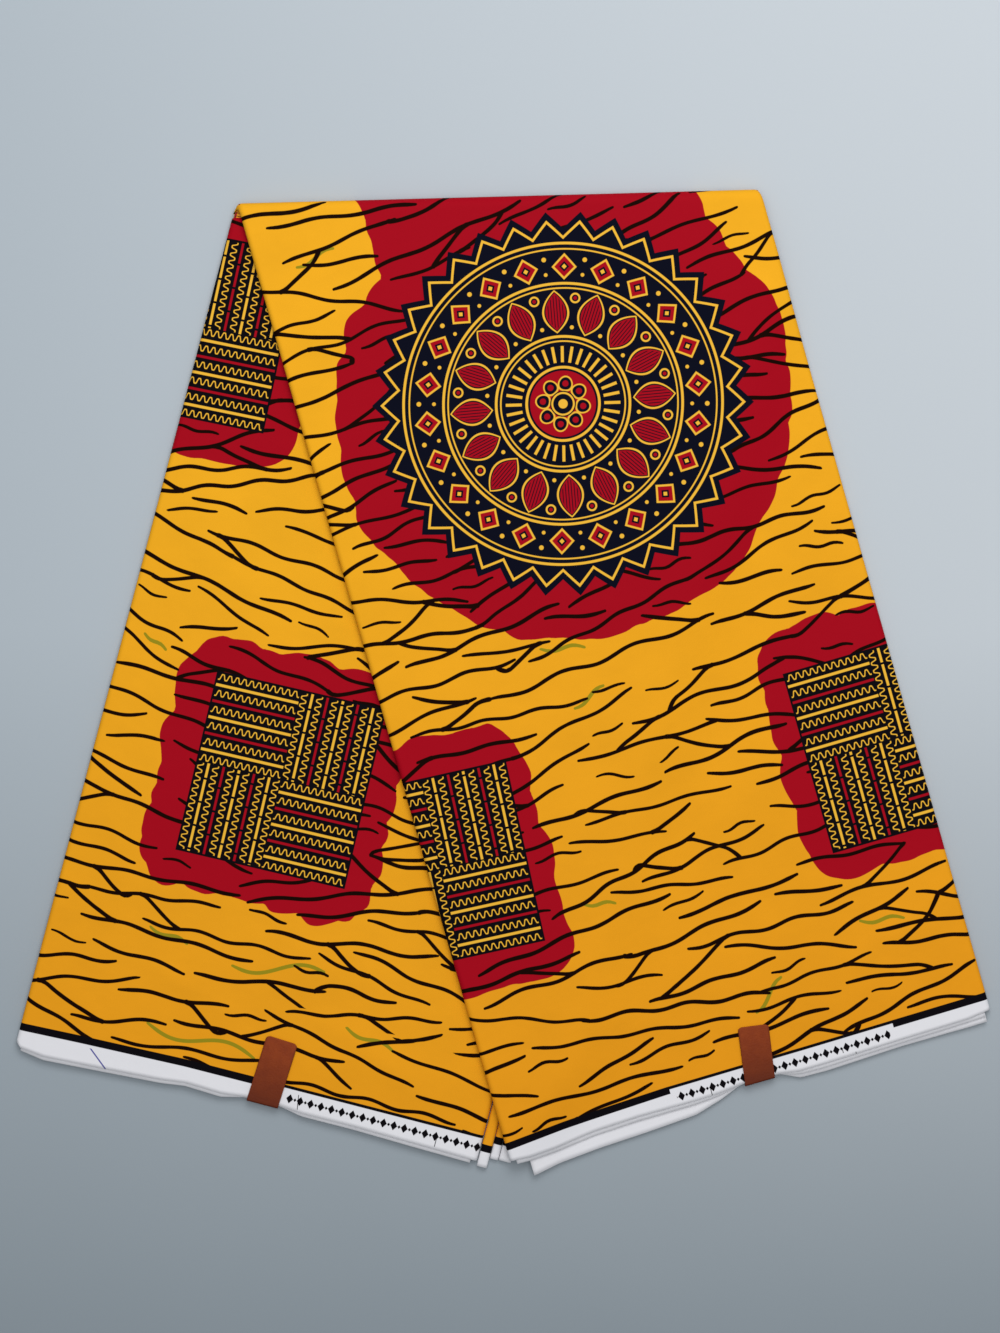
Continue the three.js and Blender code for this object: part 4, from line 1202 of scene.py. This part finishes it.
def label_strap(name, spec, node):
    """One strap. Shares of its rows are for the top leg, the bend, and the short leg underneath."""
    mesh, p, q = flat_grid(name, LABEL_COLUMNS, LABEL_ROWS)
    sign, length, half = spec["sign"], spec["length"], spec["width"] / 2
    outer = LABEL_BEND + LABEL_WALL
    share = 1 - q
    top = share <= TOP_SHARE
    ground = share > BEND_SHARE
    back = np.where(top, length * (1 - share / TOP_SHARE), 0.0)
    corner = np.clip(LABEL_CORNER - (length - back), 0, LABEL_CORNER)
    cut = np.where(top, LABEL_CORNER - np.sqrt(np.maximum(0, LABEL_CORNER ** 2 - corner ** 2)), 0)
    offset = (p * 2 - 1) * (half - cut)
    angle = np.clip((share - TOP_SHARE) / (BEND_SHARE - TOP_SHARE), 0, 1) * math.pi
    centre = -outer
    from_end = np.where(top, -back + centre * ease(1 - back / LABEL_PRESS), centre + outer * np.sin(angle))
    under = centre - (share - BEND_SHARE) / (1 - BEND_SHARE) * (LABEL_RETURN + centre)
    from_end = np.where(ground, under, from_end)
    lean = math.tan(math.radians(spec["lean"]))
    skew = lean * offset * from_end / length
    across = spec["across"] + offset + (from_end + length / 2) * lean
    outside = -SEAM_GAP - LABEL_WALL
    height = BUNDLE - outside if sign > 0 else outside
    points = place(across, sign * (spec["end"] + from_end + skew), np.full_like(across, height))
    upper = points[:, 2] * 1000
    quarter = np.minimum(outer, upper / 2)
    turned = quarter * (1 - np.abs(np.cos(angle)))
    drop = np.where(angle < math.pi / 2, turned, upper - turned)
    points[:, 2] = np.where(top, upper, np.where(ground, 0.0, upper - drop)) / 1000
    move_to(mesh, points)
    keep(mesh, "strap", np.stack([offset / half, share / TOP_SHARE, np.zeros_like(share)], -1))
    clean(mesh)
    thing = new_object(name, mesh, leather)
    solid = thing.modifiers.new("leather", "SOLIDIFY")
    solid.thickness, solid.offset = LABEL_WALL / 1000, -1
    soften = thing.modifiers.new("soft edge", "BEVEL")
    soften.width, soften.segments, soften.limit_method = 0.00025, 2, "ANGLE"
    finish_piece(thing, node)
    return thing


def leather_finish():
    """Bonded leather: fine pebbled grain, warm brown, darker at its sides, and with painted shade that
    darkens it towards the bend.
    """
    material, tree = new_material("brown_bonded_leather")
    at = put(tree, "TexCoord", out=3)
    grain = put(tree, "TexVoronoi", {"Vector": at, "Scale": 900.0}, feature="SMOOTH_F1")
    mottle = put(tree, "TexNoise", {"Vector": at, "Scale": 180.0, "Detail": 5.0, "Roughness": 0.65})
    base = put(tree, "Mix", {0: mottle, 6: colour("72290f"), 7: colour("95421a")}, out=2, data_type="RGBA")
    strap = put(tree, "Attribute", attribute_name="strap", out=1)
    offset = put(tree, "SeparateXYZ", strap).node.outputs
    rim = put(tree, "MapRange", {0: put(tree, "ABSOLUTE", offset[0]), 1: 0.86, 2: 1.0})
    # Painted shade: the top leg turns darker towards the bend, where the strap turns down away from the
    # light.
    bend = put(tree, "MapRange", {0: offset[1], 1: 0.2, 2: 1.1})
    dark_sides_and_painted_shade = put(tree, "MAXIMUM", put(tree, "MULTIPLY", rim, 0.5), put(tree, "MULTIPLY", bend, 0.8))
    base = put(tree, "Mix", {0: dark_sides_and_painted_shade, 6: base, 7: colour("4d1d0f")}, out=2, data_type="RGBA")
    rough = put(tree, "MapRange", {0: mottle, 3: 0.42, 4: 0.6})
    height = put(tree, "ADD", put(tree, "MULTIPLY", grain, 0.6), put(tree, "MULTIPLY", mottle, 0.4))
    normal = put(tree, "Bump", {"Height": height, "Strength": 0.8, "Distance": 0.0003})
    skin = put(tree, "BsdfPrincipled", {"Base Color": base, "Roughness": rough, "Normal": normal,
                                        "Specular IOR Level": 0.1})
    put(tree, "OutputMaterial", skin)
    return material


leather = leather_finish()
front_strap = label_strap("front_label_strap", FRONT_LABEL, "front_label")
back_strap = label_strap("back_label_strap", BACK_LABEL, "back_label")
print("labels", front_strap.name, back_strap.name)
